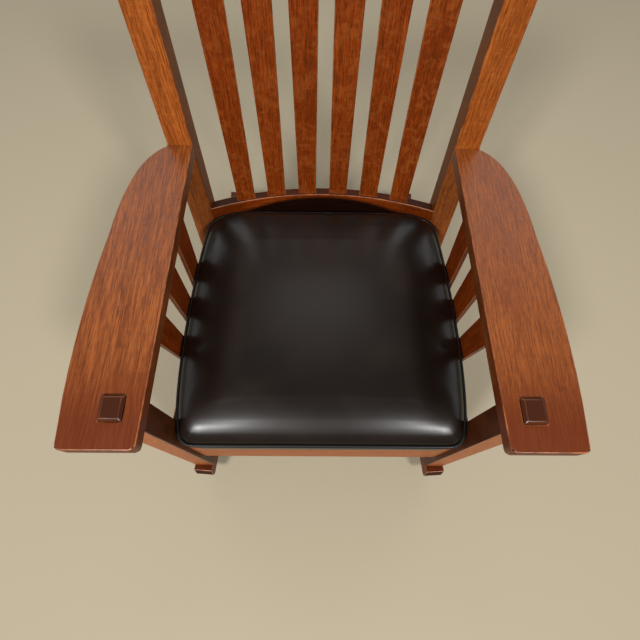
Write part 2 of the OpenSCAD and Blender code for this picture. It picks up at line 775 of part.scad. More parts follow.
// A ring at a share of the boxing's height, drawn in by an inset and lifted by a rise
function wall_ring(inset, share, rise) = [for (i = [0:loop_n - 1])
    let (p = inset_point(i, inset)) leaning(p, seat_base + (welt_z(p[1]) - seat_base)*share + rise)];
function crown_ring(inset, s, drop) = [for (i = [0:loop_n - 1])
    let (p = shrunk(i, inset, s)) leaning(p, welt_z(p[1]) - drop + crown(s))];
core_inset = boxing_inset + boxing_waist + cover_t;
core_rings = concat([wall_ring(core_inset, 0, 0), wall_ring(core_inset, 1, -cover_t)],
    [for (s = core_shares) crown_ring(core_inset, s, cover_t)]);
cover_rings = concat(
    [wall_ring(boxing_inset + bottom_round, 0, 0),
        wall_ring(boxing_inset, 0, bottom_round),
        wall_ring(boxing_inset + boxing_waist, 0.5, 0),
        wall_ring(boxing_inset, 1, -1.5*welt_r),
        wall_ring(0.3*welt_r, 1, -0.7*welt_r),
        wall_ring(0, 1, 0),
        wall_ring(0.3*welt_r, 1, 0.7*welt_r),
        wall_ring(1.6*welt_r, 1, 0.6*welt_r)],
    [for (s = crown_shares) crown_ring(1.6*welt_r, s, 0)]);
function flat_list(rings) = [for (r = rings) each r];
function peak(drop) = leaning(centre, welt_z(centre[1]) - drop + crown_h);
// Faces between successive rings, whose points start at a given one. Each is split from its first
// ring's point to its second's next one, or the other way, so that two shells can share their faces.
function bands(rings, start, turned) = [for (r = [0:len(rings) - 2], i = [0:loop_n - 1])
    let (j = (i + 1)%loop_n, a = start + r*loop_n, b = a + loop_n) each turned
        ? [[a + i, b + i, a + j], [b + i, b + j, a + j]]
        : [[a + i, b + i, b + j], [a + i, b + j, a + j]]];
// Faces from a ring to one point, seen from below and from above
function fan_below(start, point) = [for (i = [0:loop_n - 1]) [point, start + i, start + (i + 1)%loop_n]];
function fan_above(start, point) = [for (i = [0:loop_n - 1]) [point, start + (i + 1)%loop_n, start + i]];
function reversed(list) = [for (i = [len(list) - 1:-1:0]) list[i]];
module seat_filling() {
    top = (len(core_rings) - 1)*loop_n;
    base = [centre[0], centre[1], seat_base];
    color("wheat") rested() polyhedron(concat(flat_list(core_rings), [peak(cover_t), base]),
        concat(bands(core_rings, 0, false), fan_below(0, top + loop_n + 1),
            fan_above(top, top + loop_n)));
}
module seat_cushion() {
    inside = reversed(core_rings);
    outside = concat([core_rings[0]], cover_rings);
    foot = 1 + (len(inside) - 1)*loop_n;
    top = foot + (len(outside) - 1)*loop_n;
    color("#2a1d17") rested() polyhedron(
        concat([peak(cover_t)], flat_list(inside), flat_list(cover_rings), [peak(0)]),
        concat(fan_below(1, 0), bands(inside, 1, true), bands(outside, foot, false),
            fan_above(top, top + loop_n)));
}

rocker(-1);  // rocker_left
rocker(1);  // rocker_right
front_leg(-1);  // front_leg_left
front_leg(1);  // front_leg_right
back_post(-1);  // back_post_left
back_post(1);  // back_post_right
arm(-1);  // arm_left
arm(1);  // arm_right
front_seat_rail();
rear_seat_rail();
side_seat_rail(-1);  // side_seat_rail_left
side_seat_rail(1);  // side_seat_rail_right
lower_back_rail();
crest_rail();
back_slat(1);  // back_slat_1
back_slat(2);  // back_slat_2
back_slat(3);  // back_slat_3
back_slat(4);  // back_slat_4
back_slat(5);  // back_slat_5
back_slat(6);  // back_slat_6
side_slat(-1, 1);  // side_slat_left_1
side_slat(-1, 2);  // side_slat_left_2
side_slat(-1, 3);  // side_slat_left_3
side_slat(1, 1);  // side_slat_right_1
side_slat(1, 2);  // side_slat_right_2
side_slat(1, 3);  // side_slat_right_3
front_cleat();
rear_cleat();
side_cleat(-1);  // side_cleat_left
side_cleat(1);  // side_cleat_right
front_corner_block(-1);  // front_corner_block_left
front_corner_block(1);  // front_corner_block_right
rear_corner_block(-1);  // rear_corner_block_left
rear_corner_block(1);  // rear_corner_block_right
rocker_screws();
arm_screws();
arm_screw_plugs();
cleat_screws();
seat_bar(seat_front, bar_front, 0);  // seat_frame_front
seat_bar(bar_back, seat_back, 0);  // seat_frame_rear
seat_bar(bar_front, bar_back, -1);  // seat_frame_left
seat_bar(bar_front, bar_back, 1);  // seat_frame_right
seat_webbing_long();
seat_webbing_cross();
seat_dust_cover();
seat_filling();
seat_cushion();
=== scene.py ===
"""Dresses the mission rocking chair: stained oak boards, and a seat with a boxed leather cushion."""

import logging
import math
from dataclasses import dataclass
from enum import Enum

import bmesh
import bpy
import numpy as np
from mathutils import Euler, Matrix, Vector


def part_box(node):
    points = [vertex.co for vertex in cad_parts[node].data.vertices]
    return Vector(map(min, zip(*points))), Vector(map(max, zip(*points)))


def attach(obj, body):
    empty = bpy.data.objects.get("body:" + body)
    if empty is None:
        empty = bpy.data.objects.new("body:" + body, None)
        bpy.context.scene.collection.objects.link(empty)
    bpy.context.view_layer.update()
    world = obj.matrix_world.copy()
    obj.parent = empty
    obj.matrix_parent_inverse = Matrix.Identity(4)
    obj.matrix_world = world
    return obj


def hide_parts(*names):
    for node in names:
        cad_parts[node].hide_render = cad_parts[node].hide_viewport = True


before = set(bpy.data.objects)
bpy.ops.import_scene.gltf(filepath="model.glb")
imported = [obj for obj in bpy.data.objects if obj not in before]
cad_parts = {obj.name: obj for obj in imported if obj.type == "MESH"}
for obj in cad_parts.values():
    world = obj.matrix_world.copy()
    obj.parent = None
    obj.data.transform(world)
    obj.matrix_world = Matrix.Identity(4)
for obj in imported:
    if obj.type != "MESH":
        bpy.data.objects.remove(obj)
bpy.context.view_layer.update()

log = logging.getLogger("rocking_chair")
MM = 0.001
SMOOTH = {"interpolation_type": "SMOOTHSTEP"}
Array = np.ndarray
Tree = bpy.types.NodeTree
Socket = bpy.types.NodeSocket
Triple = tuple[float, float, float]
Colour = tuple[float, float, float, float]


def linear(colour: str, share: float = 1.0) -> Colour:
    """Turns an sRGB hex colour into linear light.

    Each channel is divided by 12.92 in the darkest part, and otherwise shifted, scaled and raised to 2.4.

    Args:
        colour: The colour as six hex digits after a hash sign.
        share: How much of the light is kept.

    Returns:
        Red, green, blue and an alpha of one.
    """
    channels = [int(colour[i:i + 2], 16) / 255 for i in (1, 3, 5)]
    light = [c / 12.92 if c <= 0.04045 else ((c + 0.055) / 1.055) ** 2.4 for c in channels]
    return (*[share * c for c in light], 1.0)


def node(tree: Tree, kind: str, inputs: dict | None = None, **settings: object) -> bpy.types.Node:
    """Adds one shader node.

    Args:
        tree: The node tree that gets it.
        kind: The node's type without its ShaderNode prefix.
        inputs: For each input, by name or place, a socket to link from or a value.
        settings: Properties of the node itself.

    Returns:
        The new node.
    """
    made = tree.nodes.new("ShaderNode" + kind)
    for name, value in settings.items():
        setattr(made, name, value)
    for name, value in (inputs or {}).items():
        if isinstance(value, Socket):
            tree.links.new(value, made.inputs[name])
        else:
            made.inputs[name].default_value = value
    return made


def blank_material(name: str) -> tuple[bpy.types.Material, Tree]:
    """Makes a material with an empty node tree, and returns both."""
    material = bpy.data.materials.new(name)
    material.use_nodes = True
    material.node_tree.nodes.clear()
    return material, material.node_tree


def surfaced(material: bpy.types.Material, inputs: dict) -> bpy.types.Material:
    """Ends a material's tree with its shader and output.

    Args:
        material: The material.
        inputs: The shader's inputs.

    Returns:
        The same material.
    """
    shader = node(material.node_tree, "BsdfPrincipled", inputs)
    node(material.node_tree, "OutputMaterial", {"Surface": shader.outputs[0]})
    return material


def span(value: Socket, low: float, high: float, to_low: float = 0.0, to_high: float = 1.0) -> dict:
    """Inputs for running a value from one range to another.

    Args:
        value: The value's socket.
        low: Where it starts to rise.
        high: Where it has risen.
        to_low: Result at the low end.
        to_high: Result at the high end.

    Returns:
        The inputs by name.
    """
    return {"Value": value, "From Min": low, "From Max": high, "To Min": to_low, "To Max": to_high}


def tinted(tree: Tree, colour: Socket | Colour, tint: Colour, value: Socket, low: float, high: float,
           to_low: float = 0.0, to_high: float = 1.0) -> Socket:
    """Lays a tint over a colour by a share that a value decides.

    Args:
        tree: The node tree.
        colour: The colour below.
        tint: The tint.
        value: The value, over whose range the share runs smoothly from one end to the other.
        low: The value at the share's start.
        high: The value at the share's end.
        to_low: The tint's share at the low value.
        to_high: The tint's share at the high value.

    Returns:
        The tinted colour.
    """
    share = node(tree, "MapRange", span(value, low, high, to_low, to_high), **SMOOTH).outputs["Result"]
    return node(tree, "Mix", {0: share, 6: colour, 7: tint}, data_type="RGBA").outputs[2]


def pattern(tree: Tree, place: Socket, size_mm: Triple, detail: float = 2.0, roughness: float = 0.5,
            distortion: float = 0.0, turn: Triple = (0, 0, 0)) -> Socket:
    """Noise of a real size, on coordinates scaled so that the size along each axis becomes one.

    Args:
        tree: The node tree.
        place: The coordinates in metres.
        size_mm: The pattern's size along each axis in millimetres.
        detail: Number of finer layers.
        roughness: Strength of the finer layers.
        distortion: How far it is pulled about.
        turn: Turn of the scaled coordinates in degrees.

    Returns:
        The noise's value.
    """
    scaled = node(tree, "Mapping", {"Vector": place, "Scale": tuple(1000 / size for size in size_mm),
                                    "Rotation": tuple(math.radians(angle) for angle in turn)})
    made = node(tree, "TexNoise", {"Vector": scaled.outputs["Vector"], "Scale": 1.0, "Detail": detail,
                                   "Roughness": roughness, "Distortion": distortion})
    return made.outputs["Fac"]


@dataclass(frozen=True)
class Stance:
    """The leaned frame that the chair is laid out in, and its place in the shared frame.

    The lean of the layout, the rake of the posts and the splay of the sides are in degrees. The middle of
    the chair and the fronts of the posts at the floor are in millimetres behind the fronts of the legs.
    """

    lean: float = 7.6
    rake: float = 6.0
    splay: float = 3.665
    middle: float = 375.12
    post_y: float = 418.0

    def places(self, points: Array) -> Array:
        """Takes points from the layout to the shared frame.

        The layout leans back about the line under the fronts of the legs, so y and z are turned by the lean,
        and y is then counted from the middle of the chair.

        Args:
            points: Places in the layout in millimetres, with x, y and z along the last axis.

        Returns:
            The same places in metres in the shared frame.
        """
        p = np.asarray(points, float)
        s, c = math.sin(math.radians(self.lean)), math.cos(math.radians(self.lean))
        x, y, z = p[..., 0], p[..., 1], p[..., 2]
        return np.stack([x, y * c + z * s - self.middle, z * c - y * s], -1) * MM

    def layout(self, places: Array) -> Array:
        """Takes places in metres in the shared frame back to the layout in millimetres, one to a row."""
        p = np.asarray(places, float) / MM
        s, c = math.sin(math.radians(self.lean)), math.cos(math.radians(self.lean))
        y = p[:, 1] + self.middle
        return np.stack([p[:, 0], y * c - p[:, 2] * s, y * s + p[:, 2] * c], 1)

    def direction(self, x: float, y: float, z: float) -> Vector:
        """Takes a direction from the layout to the shared frame by the same turn."""
        a, b = self.places([[0, 0, 0], [x, y, z]])
        return Vector(b - a).normalized()

    def post_face(self, z: float) -> float:
        """Distance of the fronts of the posts behind the fronts of the legs at a height."""
        return self.post_y + z * math.tan(math.radians(self.rake))


STANCE = Stance()


@dataclass(frozen=True)
class PhotoCamera:
    """Camera at the photograph's viewing angle, above and in front of the seat."""

    focal_share: float = 437.4 / 640
    yaw: float = 1.770
    pitch: float = 73.842
    roll: float = 2.201
    place: Triple = (-0.0110, -0.3188, 1.2249)
    sensor: float = 36.0

    def make(self) -> None:
        """Makes the camera, which looks down by the pitch, aside by the yaw and is rolled about its view."""
        yaw, pitch, roll = (math.radians(a) for a in (self.yaw, self.pitch, self.roll))
        ahead = Vector((math.sin(yaw) * math.cos(pitch), math.cos(yaw) * math.cos(pitch), -math.sin(pitch)))
        level = Vector((math.cos(yaw), -math.sin(yaw), 0))
        above = level.cross(ahead)
        right = level * math.cos(roll) + above * math.sin(roll)
        up = above * math.cos(roll) - level * math.sin(roll)
        data = bpy.data.cameras.new("photo_camera")
        data.sensor_width = self.sensor
        data.lens = self.focal_share * self.sensor
        camera = bpy.data.objects.new("photo_camera", data)
        turn = Matrix((right, up, -ahead)).transposed().to_4x4()
        camera.matrix_world = Matrix.Translation(self.place) @ turn
        bpy.context.scene.collection.objects.link(camera)
        bpy.context.scene.camera = camera


@dataclass(frozen=True)
class SoftBox:
    """One white studio light, seen only in what it lights and in reflections."""

    name: str
    place: Triple
    aim: Triple
    size: tuple[float, float]
    power: float

    def make(self) -> None:
        """Hangs the light at its place, turned towards its aim."""
        data = bpy.data.lights.new(self.name, "AREA")
        data.shape, data.energy = "RECTANGLE", self.power
        data.size, data.size_y = self.size
        lamp = bpy.data.objects.new(self.name, data)
        away = Vector(self.place) - Vector(self.aim)
        lamp.location, lamp.rotation_euler = self.place, away.to_track_quat("Z", "Y").to_euler()
        lamp.visible_camera = False
        bpy.context.scene.collection.objects.link(lamp)


@dataclass(frozen=True)
class Studio:
    """Plain pale floor, two soft boxes in front, white panels behind and at the sides, and a dim even sky."""

    floor_half: float = 6.0
    floor_colour: str = "#b5a88e"
    floor_roughness: float = 0.85
    sky_colour: str = "#eef0f2"
    sky_strength: float = 0.12
    lights: tuple[SoftBox, ...] = (
        SoftBox("front_left_light", (-1.12, -1.55, 3.0), (0.0, -0.2, 0.45), (0.5, 0.5), 66),
        SoftBox("front_right_light", (1.2, -1.55, 3.0), (0.0, -0.2, 0.45), (0.42, 0.5), 54),
        SoftBox("left_panel", (-3.0, 0.9, 1.7), (0.0, 0.0, 0.6), (2.2, 1.6), 10),
        SoftBox("right_panel", (3.0, 0.9, 1.7), (0.0, 0.0, 0.6), (2.2, 1.6), 10),
        SoftBox("back_left_panel", (-1.5, 2.0, 2.35), (-1.5, 0.0, 2.2), (1.9, 1.6), 17),
        SoftBox("back_right_panel", (1.5, 2.0, 2.35), (1.5, 0.0, 2.2), (1.9, 1.6), 17),
        SoftBox("back_middle_panel", (0.0, 2.0, 3.4), (0.0, 0.0, 2.7), (1.1, 1.7), 11))

    def make(self) -> None:
        """Makes the floor, the lights and the sky, and shows colours as they are and not as film would."""
        bpy.context.scene.view_settings.view_transform = "Standard"
        h = self.floor_half
        mesh = bpy.data.meshes.new("studio_floor")
        mesh.from_pydata([(-h, -h, 0), (h, -h, 0), (h, h, 0), (-h, h, 0)], [], [(0, 1, 2, 3)])
        floor = bpy.data.objects.new("studio_floor", mesh)
        bpy.context.scene.collection.objects.link(floor)
        paint, _ = blank_material("matt_painted_floor")
        mesh.materials.append(surfaced(paint, {"Base Color": linear(self.floor_colour),
                                               "Roughness": self.floor_roughness}))
        for light in self.lights:
            light.make()
        world = bpy.data.worlds.new("studio_sky")
        world.use_nodes = True
        sky = world.node_tree.nodes["Background"]
        sky.inputs["Color"].default_value = linear(self.sky_colour)
        sky.inputs["Strength"].default_value = self.sky_strength
        bpy.context.scene.world = world


class Tone(Enum):
    """How dark a board took the stain, as a share of the light it returns; on boards whose fronts face the
    lamps, the paler tones are painted light.
    """

    PALE = 1.25
    LIGHT = 1.12
    EVEN = 1.0
    DEEP = 0.78


@dataclass(frozen=True)
class Board:
    """A sawn board: the node it finishes, the way its grain runs and the way its broad face looks.

    Fleck and ribbon are the shares of its fine and its broad ray flecks, coarse is how many times as wide
    its grain is drawn, and edge is how dark its narrow faces are, partly their stain and partly painted shade
    where they turn from the lamps. Hollow is the share of painted shade in the hollow of a bowed rail, the
    front-end share is painted shade at its front end, where the lacquer reflects nothing bright, tenon is how
    dark its end grain is at its top end, and polish is the weight of its lacquer.
    """

    node: str
    grain: Triple
    face: Triple
    tone: Tone = Tone.EVEN
    fleck: float = 0.16
    coarse: float = 1.0
    ribbon: float = 0.0
    edge: float = 0.6
    hollow: float = 0.0
    polish: float = 0.0
    front_shade: float = 0.0
    tenon: float = 0.0
    step: float = 0.37

    def axes(self) -> Euler:
        """Turn of the board's own axes: x across the broad face, y out of it and z along the grain."""
        grain = STANCE.direction(*self.grain)
        face = STANCE.direction(*self.face)
        across = face.cross(grain).normalized()
        face = grain.cross(across)
        return Matrix((across, face, grain)).transposed().to_euler()

    def corner(self) -> Vector:
        """A place well away from the board, different for each, so that no two boards share a pattern.

        The letters of its name, weighed by their order, add up to a number, and what is left of that after
        division by three primes is how many steps the place lies from the board's middle along each axis.
        """
        number = sum(ord(letter) * (i + 3) for i, letter in enumerate(self.node))
        low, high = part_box(self.node)
        steps = Vector([number % prime - prime // 2 for prime in (7, 11, 13)])
        return (Vector(low) + Vector(high)) / 2 + steps * self.step


@dataclass(frozen=True)
class Figure:
    """One layer of a wood's figure: noise of a real size, which shows between two of its values.

    The size is across the broad face, out of it and along the grain. The first axes, as many as are
    widened, are drawn wider on a coarse board.
    """

    size_mm: Triple
    low: float
    high: float
    share: float = 1.0
    detail: float = 2.0
    roughness: float = 0.5
    distortion: float = 0.0
    turn: Triple = (0.0, 0.0, 0.0)
    widened: int = 0

    def noise(self, tree: Tree, own: Socket, coarse: float) -> Socket:
        """Draws the layer's noise.

        Args:
            tree: The node tree.
            own: Place in the board's own axes.
            coarse: How many times their size the widened axes are drawn.

        Returns:
            The noise's value.
        """
        scales = [coarse if axis < self.widened else 1.0 for axis in range(3)]
        sizes = tuple(size * scale for size, scale in zip(self.size_mm, scales))
        return pattern(tree, own, sizes, self.detail, self.roughness, self.distortion, self.turn)


@dataclass(frozen=True)
class SawnWood:
    """Quartersawn wood, planed and stained.

    Sawn along its radius, it shows straight close growth lines, short dark pores and faint ribbons of ray
    fleck that lie across the grain. Cut across, it is dark and dull, because the end grain drinks the stain.
    """

    name: str
    pale: str
    dark: str
    fleck: str
    pore: str
    end: str = "#3c1703"
    # Colour of the narrow faces: partly their own stain, partly painted shade for faces turned from the
    # lamps.
    edge: str = "#35180a"
    # Painted shade at the front end of the arms, where the lacquer reflects nothing bright.
    front_end_shade: str = "#5e2200"
    # Painted shade laid into the hollow of the lower back rail, behind the cushion.
    hollow_shade: str = "#0c0502"
    roughness: float = 0.4
    end_roughness: float = 0.75
    bare_gloss: float = 0.16
    lacquer_gloss: float = 0.34
    lacquer_roughness: float = 0.34
    gloss_spread: tuple[float, float] = (-0.05, 0.07)
    bump_strength: float = 0.35
    bump_m: float = 0.00018
    # Real pores and fine lines are some 0.3 mm wide: here they are as coarse as they need to show.
    growth: Figure = Figure((1.8, 24.0, 64.0), 0.36, 0.64, 1.0, 3.0, 0.62, 0.2, widened=2)
    drift: Figure = Figure((46.0, 46.0, 240.0), 0.35, 0.7, 0.45)
    lines: Figure = Figure((1.0, 3.0, 24.0), 0.46, 0.7, 0.34, 2.0, 0.6, widened=2)
    pores: Figure = Figure((0.9, 0.9, 15.0), 0.5, 0.64, 0.5, 1.5, 0.55, widened=3)
    rays: Figure = Figure((19.0, 1.2, 4.6), 0.54, 0.66, 1.0, 2.0, 0.55, 0.7, (0, 9, 0), 3)
    ribbons: Figure = Figure((30.0, 8.0, 24.0), 0.46, 0.64, 1.0, 2.0, 0.5, 1.2, (0, 12, 0))
    # Cosines between which a face turns from narrow to broad, and from long grain to end grain.
    broad_cosines: tuple[float, float] = (0.35, 0.75)
    end_cosines: tuple[float, float] = (0.7, 0.97)
    end_stain: float = 0.9
    # How far the darkening reaches: back from the front end and into a hollow, both painted shade, and down
    # from a tenon's top.
    front_shade_m: tuple[float, float] = (0.03, 0.15)
    tenon_m: tuple[float, float] = (0.014, 0.011)
    hollow_m: tuple[float, float] = (-0.001, 0.012)
    hollow_top_mm: float = 484.0
    hollow_bow: float = 0.8

    def colour(self, tree: Tree, own: Socket, board: Board) -> tuple[Socket, Socket, Socket]:
        """Colours the wood along its grain.

        Growth lines run from dark to pale. Over them lie a slow drift that darkens whole regions, fine
        lines, fine and broad ray flecks, and at the top the pores.

        Args:
            tree: The node tree.
            own: Place in the board's own axes.
            board: The board.

        Returns:
            The colour, the growth lines and the share of the surface that pores take.
        """
        pale, dark, fleck, pore = (linear(stain, board.tone.value) for stain in (
            self.pale, self.dark, self.fleck, self.pore))
        ring = self.growth.noise(tree, own, board.coarse)
        colour = tinted(tree, dark, pale, ring, self.growth.low, self.growth.high)
        for layer, tint, share in ((self.drift, dark, 1.0), (self.lines, pore, 1.0),
                                   (self.rays, fleck, board.fleck), (self.ribbons, fleck, board.ribbon)):
            if share:
                drawn = layer.noise(tree, own, board.coarse)
                colour = tinted(tree, colour, tint, drawn, layer.low, layer.high, 0.0, layer.share * share)
        pitted = self.pores.noise(tree, own, board.coarse)
        pores = node(tree, "MapRange", span(pitted, self.pores.low, self.pores.high, 0.0, self.pores.share),
                     **SMOOTH).outputs["Result"]
        return node(tree, "Mix", {0: pores, 6: colour, 7: pore}, data_type="RGBA").outputs[2], ring, pores

    def facing(self, tree: Tree, normal: Socket, way: Triple) -> Socket:
        """Cosine of the angle between the surface's normal and a direction of the layout, made positive."""
        cosine = node(tree, "VectorMath", {0: normal, 1: STANCE.direction(*way)}, operation="DOT_PRODUCT")
        return node(tree, "Math", {0: cosine.outputs["Value"]}, operation="ABSOLUTE").outputs[0]

    def hollow_depth(self, tree: Tree, place: Socket) -> Socket:
        """Depth in metres into the hollow of a bowed rail, over which shade is painted.

        It is the depth below the rail's top edge, less a depth that grows as the square of the distance
        from the middle of the chair.

        Args:
            tree: The node tree.
            place: Object coordinates.

        Returns:
            The depth.
        """
        rake = math.radians(STANCE.rake)
        up = STANCE.direction(0, math.sin(rake), math.cos(rake))
        z = self.hollow_top_mm * math.cos(rake)
        top = Vector(STANCE.places([0, STANCE.post_face(z), z]))
        height = node(tree, "VectorMath", {0: place, 1: up}, operation="DOT_PRODUCT").outputs["Value"]
        depth = node(tree, "Math", {0: top.dot(up), 1: height}, operation="SUBTRACT").outputs[0]
        aside = node(tree, "SeparateXYZ", {0: place}).outputs["X"]
        square = node(tree, "Math", {0: aside, 1: aside}, operation="MULTIPLY").outputs[0]
        spared = node(tree, "Math", {0: square, 1: -self.hollow_bow, 2: depth}, operation="MULTIPLY_ADD")
        return spared.outputs[0]

    def material(self, board: Board) -> bpy.types.Material:
        """Makes the board's own material.

        Args:
            board: The board that it is for.

        Returns:
            The material.
        """
        material, tree = blank_material(f"{self.name}_{board.node}")
        sources = node(tree, "TexCoord").outputs
        place, normal = sources["Object"], sources["Normal"]
        own = node(tree, "Mapping", {"Vector": place, "Location": board.corner(), "Rotation": board.axes()},
                   vector_type="TEXTURE").outputs["Vector"]
        colour, ring, pores = self.colour(tree, own, board)
        end, broad = self.facing(tree, normal, board.grain), self.facing(tree, normal, board.face)
        # Narrow faces darken by the board's edge share: partly stain, partly painted shade.
        colour = tinted(tree, colour, linear(self.edge), broad, *self.broad_cosines, board.edge, 0.0)
        colour = tinted(tree, colour, linear(self.end), end, *self.end_cosines, 0.0, self.end_stain)
        low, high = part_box(board.node)
        # Painted shade: the arm darkens towards its front end, where its lacquer catches no sheen.
        if board.front_shade:
            along = node(tree, "SeparateXYZ", {0: place}).outputs["Y"]
            colour = tinted(tree, colour, linear(self.front_end_shade), along, low[1] + self.front_shade_m[0],
                            low[1] + self.front_shade_m[1], board.front_shade, 0.0)
        if board.tenon:
            above = node(tree, "SeparateXYZ", {0: place}).outputs["Z"]
            colour = tinted(tree, colour, linear(self.end), above, high[2] - self.tenon_m[0],
                            high[2] - self.tenon_m[1], 0.0, board.tenon)
        # Painted shade: the rail's face darkens low in its hollow behind the cushion, most in the middle.
        if board.hollow:
            colour = tinted(tree, colour, linear(self.hollow_shade), self.hollow_depth(tree, place), *self.hollow_m,
                            0.0, board.hollow)
        height = node(tree, "Math", {0: ring, 1: pores}, operation="SUBTRACT").outputs[0]
        bump = node(tree, "Bump", {"Height": height, "Strength": self.bump_strength, "Distance": self.bump_m})
        long_rough, end_rough = (node(tree, "MapRange", inputs, **SMOOTH).outputs["Result"] for inputs in (
            span(ring, 0.3, 0.7, *(self.roughness + change for change in self.gloss_spread)),
            span(end, *self.end_cosines, 0.0, self.end_roughness)))
        rough = node(tree, "Math", {0: long_rough, 1: end_rough}, operation="MAXIMUM")
        return surfaced(material, {
            "Base Color": colour, "Roughness": rough.outputs[0], "IOR": 1.5, "Normal": bump.outputs[0],
            "Specular IOR Level": self.bare_gloss + self.lacquer_gloss * board.polish,
            "Coat Weight": board.polish, "Coat Roughness": self.lacquer_roughness, "Coat IOR": 1.5})


@dataclass(frozen=True)
class WornAndHighlitArris:
    """Rubbed arris of a stained board: paler, partly where the colour has thinned and partly as a painted
    highlight, and the lacquer shines a little more.
    """

    name: str = "rubbed_and_highlit_oak_arris"
    pale: str = "#a45e2e"
    dark: str = "#6e3413"
    roughness: float = 0.34
    patch_mm: float = 30.0

    def material(self) -> bpy.types.Material:
        """Makes the material, paler in patches."""
        material, tree = blank_material(self.name)
        place = node(tree, "TexCoord").outputs["Object"]
        rubbed = pattern(tree, place, (self.patch_mm,) * 3, 3.0, 0.6)
        return surfaced(material, {
            "Base Color": tinted(tree, linear(self.dark), linear(self.pale), rubbed, 0.35, 0.65),
            "Roughness": self.roughness, "IOR": 1.5, "Coat Weight": 0.3, "Coat Roughness": 0.25})


@dataclass(frozen=True)
class Leather:
    """Near-black brown upholstery leather: smooth, finely pebbled, with broad soft highlights."""

    name: str = "upholstery_leather"
    base: str = "#17100b"
    worn: str = "#1f1610"
    roughness: float = 0.31
    cloud_mm: float = 120.0
    dimple_mm: float = 14.0
    # The pebbles of real leather are about half as wide: these are drawn so that they just show.
    pebble_mm: float = 1.6

    def material(self) -> bpy.types.Material:
        """Makes the material: pebbles and soft dimples in its bump, and a slow change in colour and gloss."""
        material, tree = blank_material(self.name)
        place = node(tree, "TexCoord").outputs["Object"]
        cloudy = pattern(tree, place, (self.cloud_mm,) * 3)
        pebble = node(tree, "TexVoronoi", {"Vector": place, "Scale": 1000 / self.pebble_mm},
                      feature="SMOOTH_F1").outputs["Distance"]
        dimples = pattern(tree, place, (self.dimple_mm,) * 3)
        fine = node(tree, "Bump", {"Height": pebble, "Strength": 0.08, "Distance": 0.0002})
        bump = node(tree, "Bump", {"Height": dimples, "Strength": 0.06, "Distance": 0.0006,
                                   "Normal": fine.outputs[0]})
        gloss = node(tree, "MapRange", span(cloudy, 0.3, 0.7, self.roughness - 0.02, self.roughness + 0.03),
                     **SMOOTH)
        return surfaced(material, {
            "Base Color": tinted(tree, linear(self.base), linear(self.worn), cloudy, 0.35, 0.7),
            "Roughness": gloss.outputs["Result"], "IOR": 1.5, "Normal": bump.outputs[0],
            "Specular IOR Level": 0.34, "Coat Weight": 0.1, "Coat Roughness": 0.2})


@dataclass(frozen=True)
class Woven:
    """Plain woven cloth, drawn as threads crossing over and under each other."""

    name: str
    warp: str
    weft: str
    thread_mm: float
    roughness: float = 0.9

    def material(self) -> bpy.types.Material:
        """Makes the material on the piece's own UV map, whose unit is a metre.

        The height is the sine across the threads times the sine along them, a half wave to a thread, so that
        each crossing rises where its neighbours sink.
        """
        material, tree = blank_material(self.name)
        place = node(tree, "UVMap", uv_map="cloth").outputs["UV"]
        turns = node(tree, "Mapping", {"Vector": place, "Scale": (math.pi * 1000 / self.thread_mm,) * 3})
        xy = node(tree, "SeparateXYZ", {0: turns.outputs[0]})
        across = node(tree, "Math", {0: xy.outputs[0]}, operation="SINE").outputs[0]
        along = node(tree, "Math", {0: xy.outputs[1]}, operation="SINE").outputs[0]
        over = node(tree, "Math", {0: across, 1: along}, operation="MULTIPLY").outputs[0]
        bump = node(tree, "Bump", {"Height": over, "Strength": 0.5, "Distance": 0.0004})
        return surfaced(material, {
            "Base Color": tinted(tree, linear(self.warp), linear(self.weft), over, -0.3, 0.3),
            "Roughness": self.roughness, "Normal": bump.outputs[0], "Sheen Weight": 0.3})


@dataclass(frozen=True)
class Steel:
    """Plain turned steel of wood screws: fine rings from the lathe and a dull grey shine."""

    name: str = "turned_steel"
    colour: str = "#8d8a84"
    ring_mm: Triple = (6.0, 6.0, 0.5)

    def material(self) -> bpy.types.Material:
        """Makes the material, with the turning drawn as noise stretched to rings, coarse enough to show."""
        material, tree = blank_material(self.name)
        turned = pattern(tree, node(tree, "TexCoord").outputs["Object"], self.ring_mm)
        bump = node(tree, "Bump", {"Height": turned, "Strength": 0.2, "Distance": 0.0001})
        gloss = node(tree, "MapRange", span(turned, 0.3, 0.7, 0.3, 0.5), **SMOOTH)
        return surfaced(material, {"Base Color": linear(self.colour), "Metallic": 1.0,
                                   "Roughness": gloss.outputs["Result"], "Normal": bump.outputs[0]})


OAK = SawnWood("fumed_quartersawn_oak", "#963f0b", "#6d2a05", "#ae6028", "#351101")
# Paler finish of the front legs and front seat rail: painted light for their fronts, which face the lamps.
FRONT_LIT_OAK = SawnWood("faded_quartersawn_oak", "#b86630", "#8c4617", "#c08044", "#4a1c06")
# Paler finish of the arms and back posts: painted sheen on the arms, painted light on the posts' fronts.
SHEEN_LIT_OAK = SawnWood("sheen_lit_quartersawn_oak", "#b26024", "#864113", "#bf7438", "#431c0a")
HARDWOOD = SawnWood("plain_maple", "#b08a5c", "#94703f", "#c4a070", "#6b4a28", "#7a5a35", "#94703f",
                    roughness=0.7)


def set_material(target: bpy.types.Object, *materials: bpy.types.Material) -> None:
    """Puts materials into a node's or a piece's slots.

    Args:
        target: The object that gets them.
        materials: The materials, the face's first and the arris's after it.
    """
    slots = target.data.materials
    for i, material in enumerate(materials):
        if i < len(slots):
            slots[i] = material
        else:
            slots.append(material)


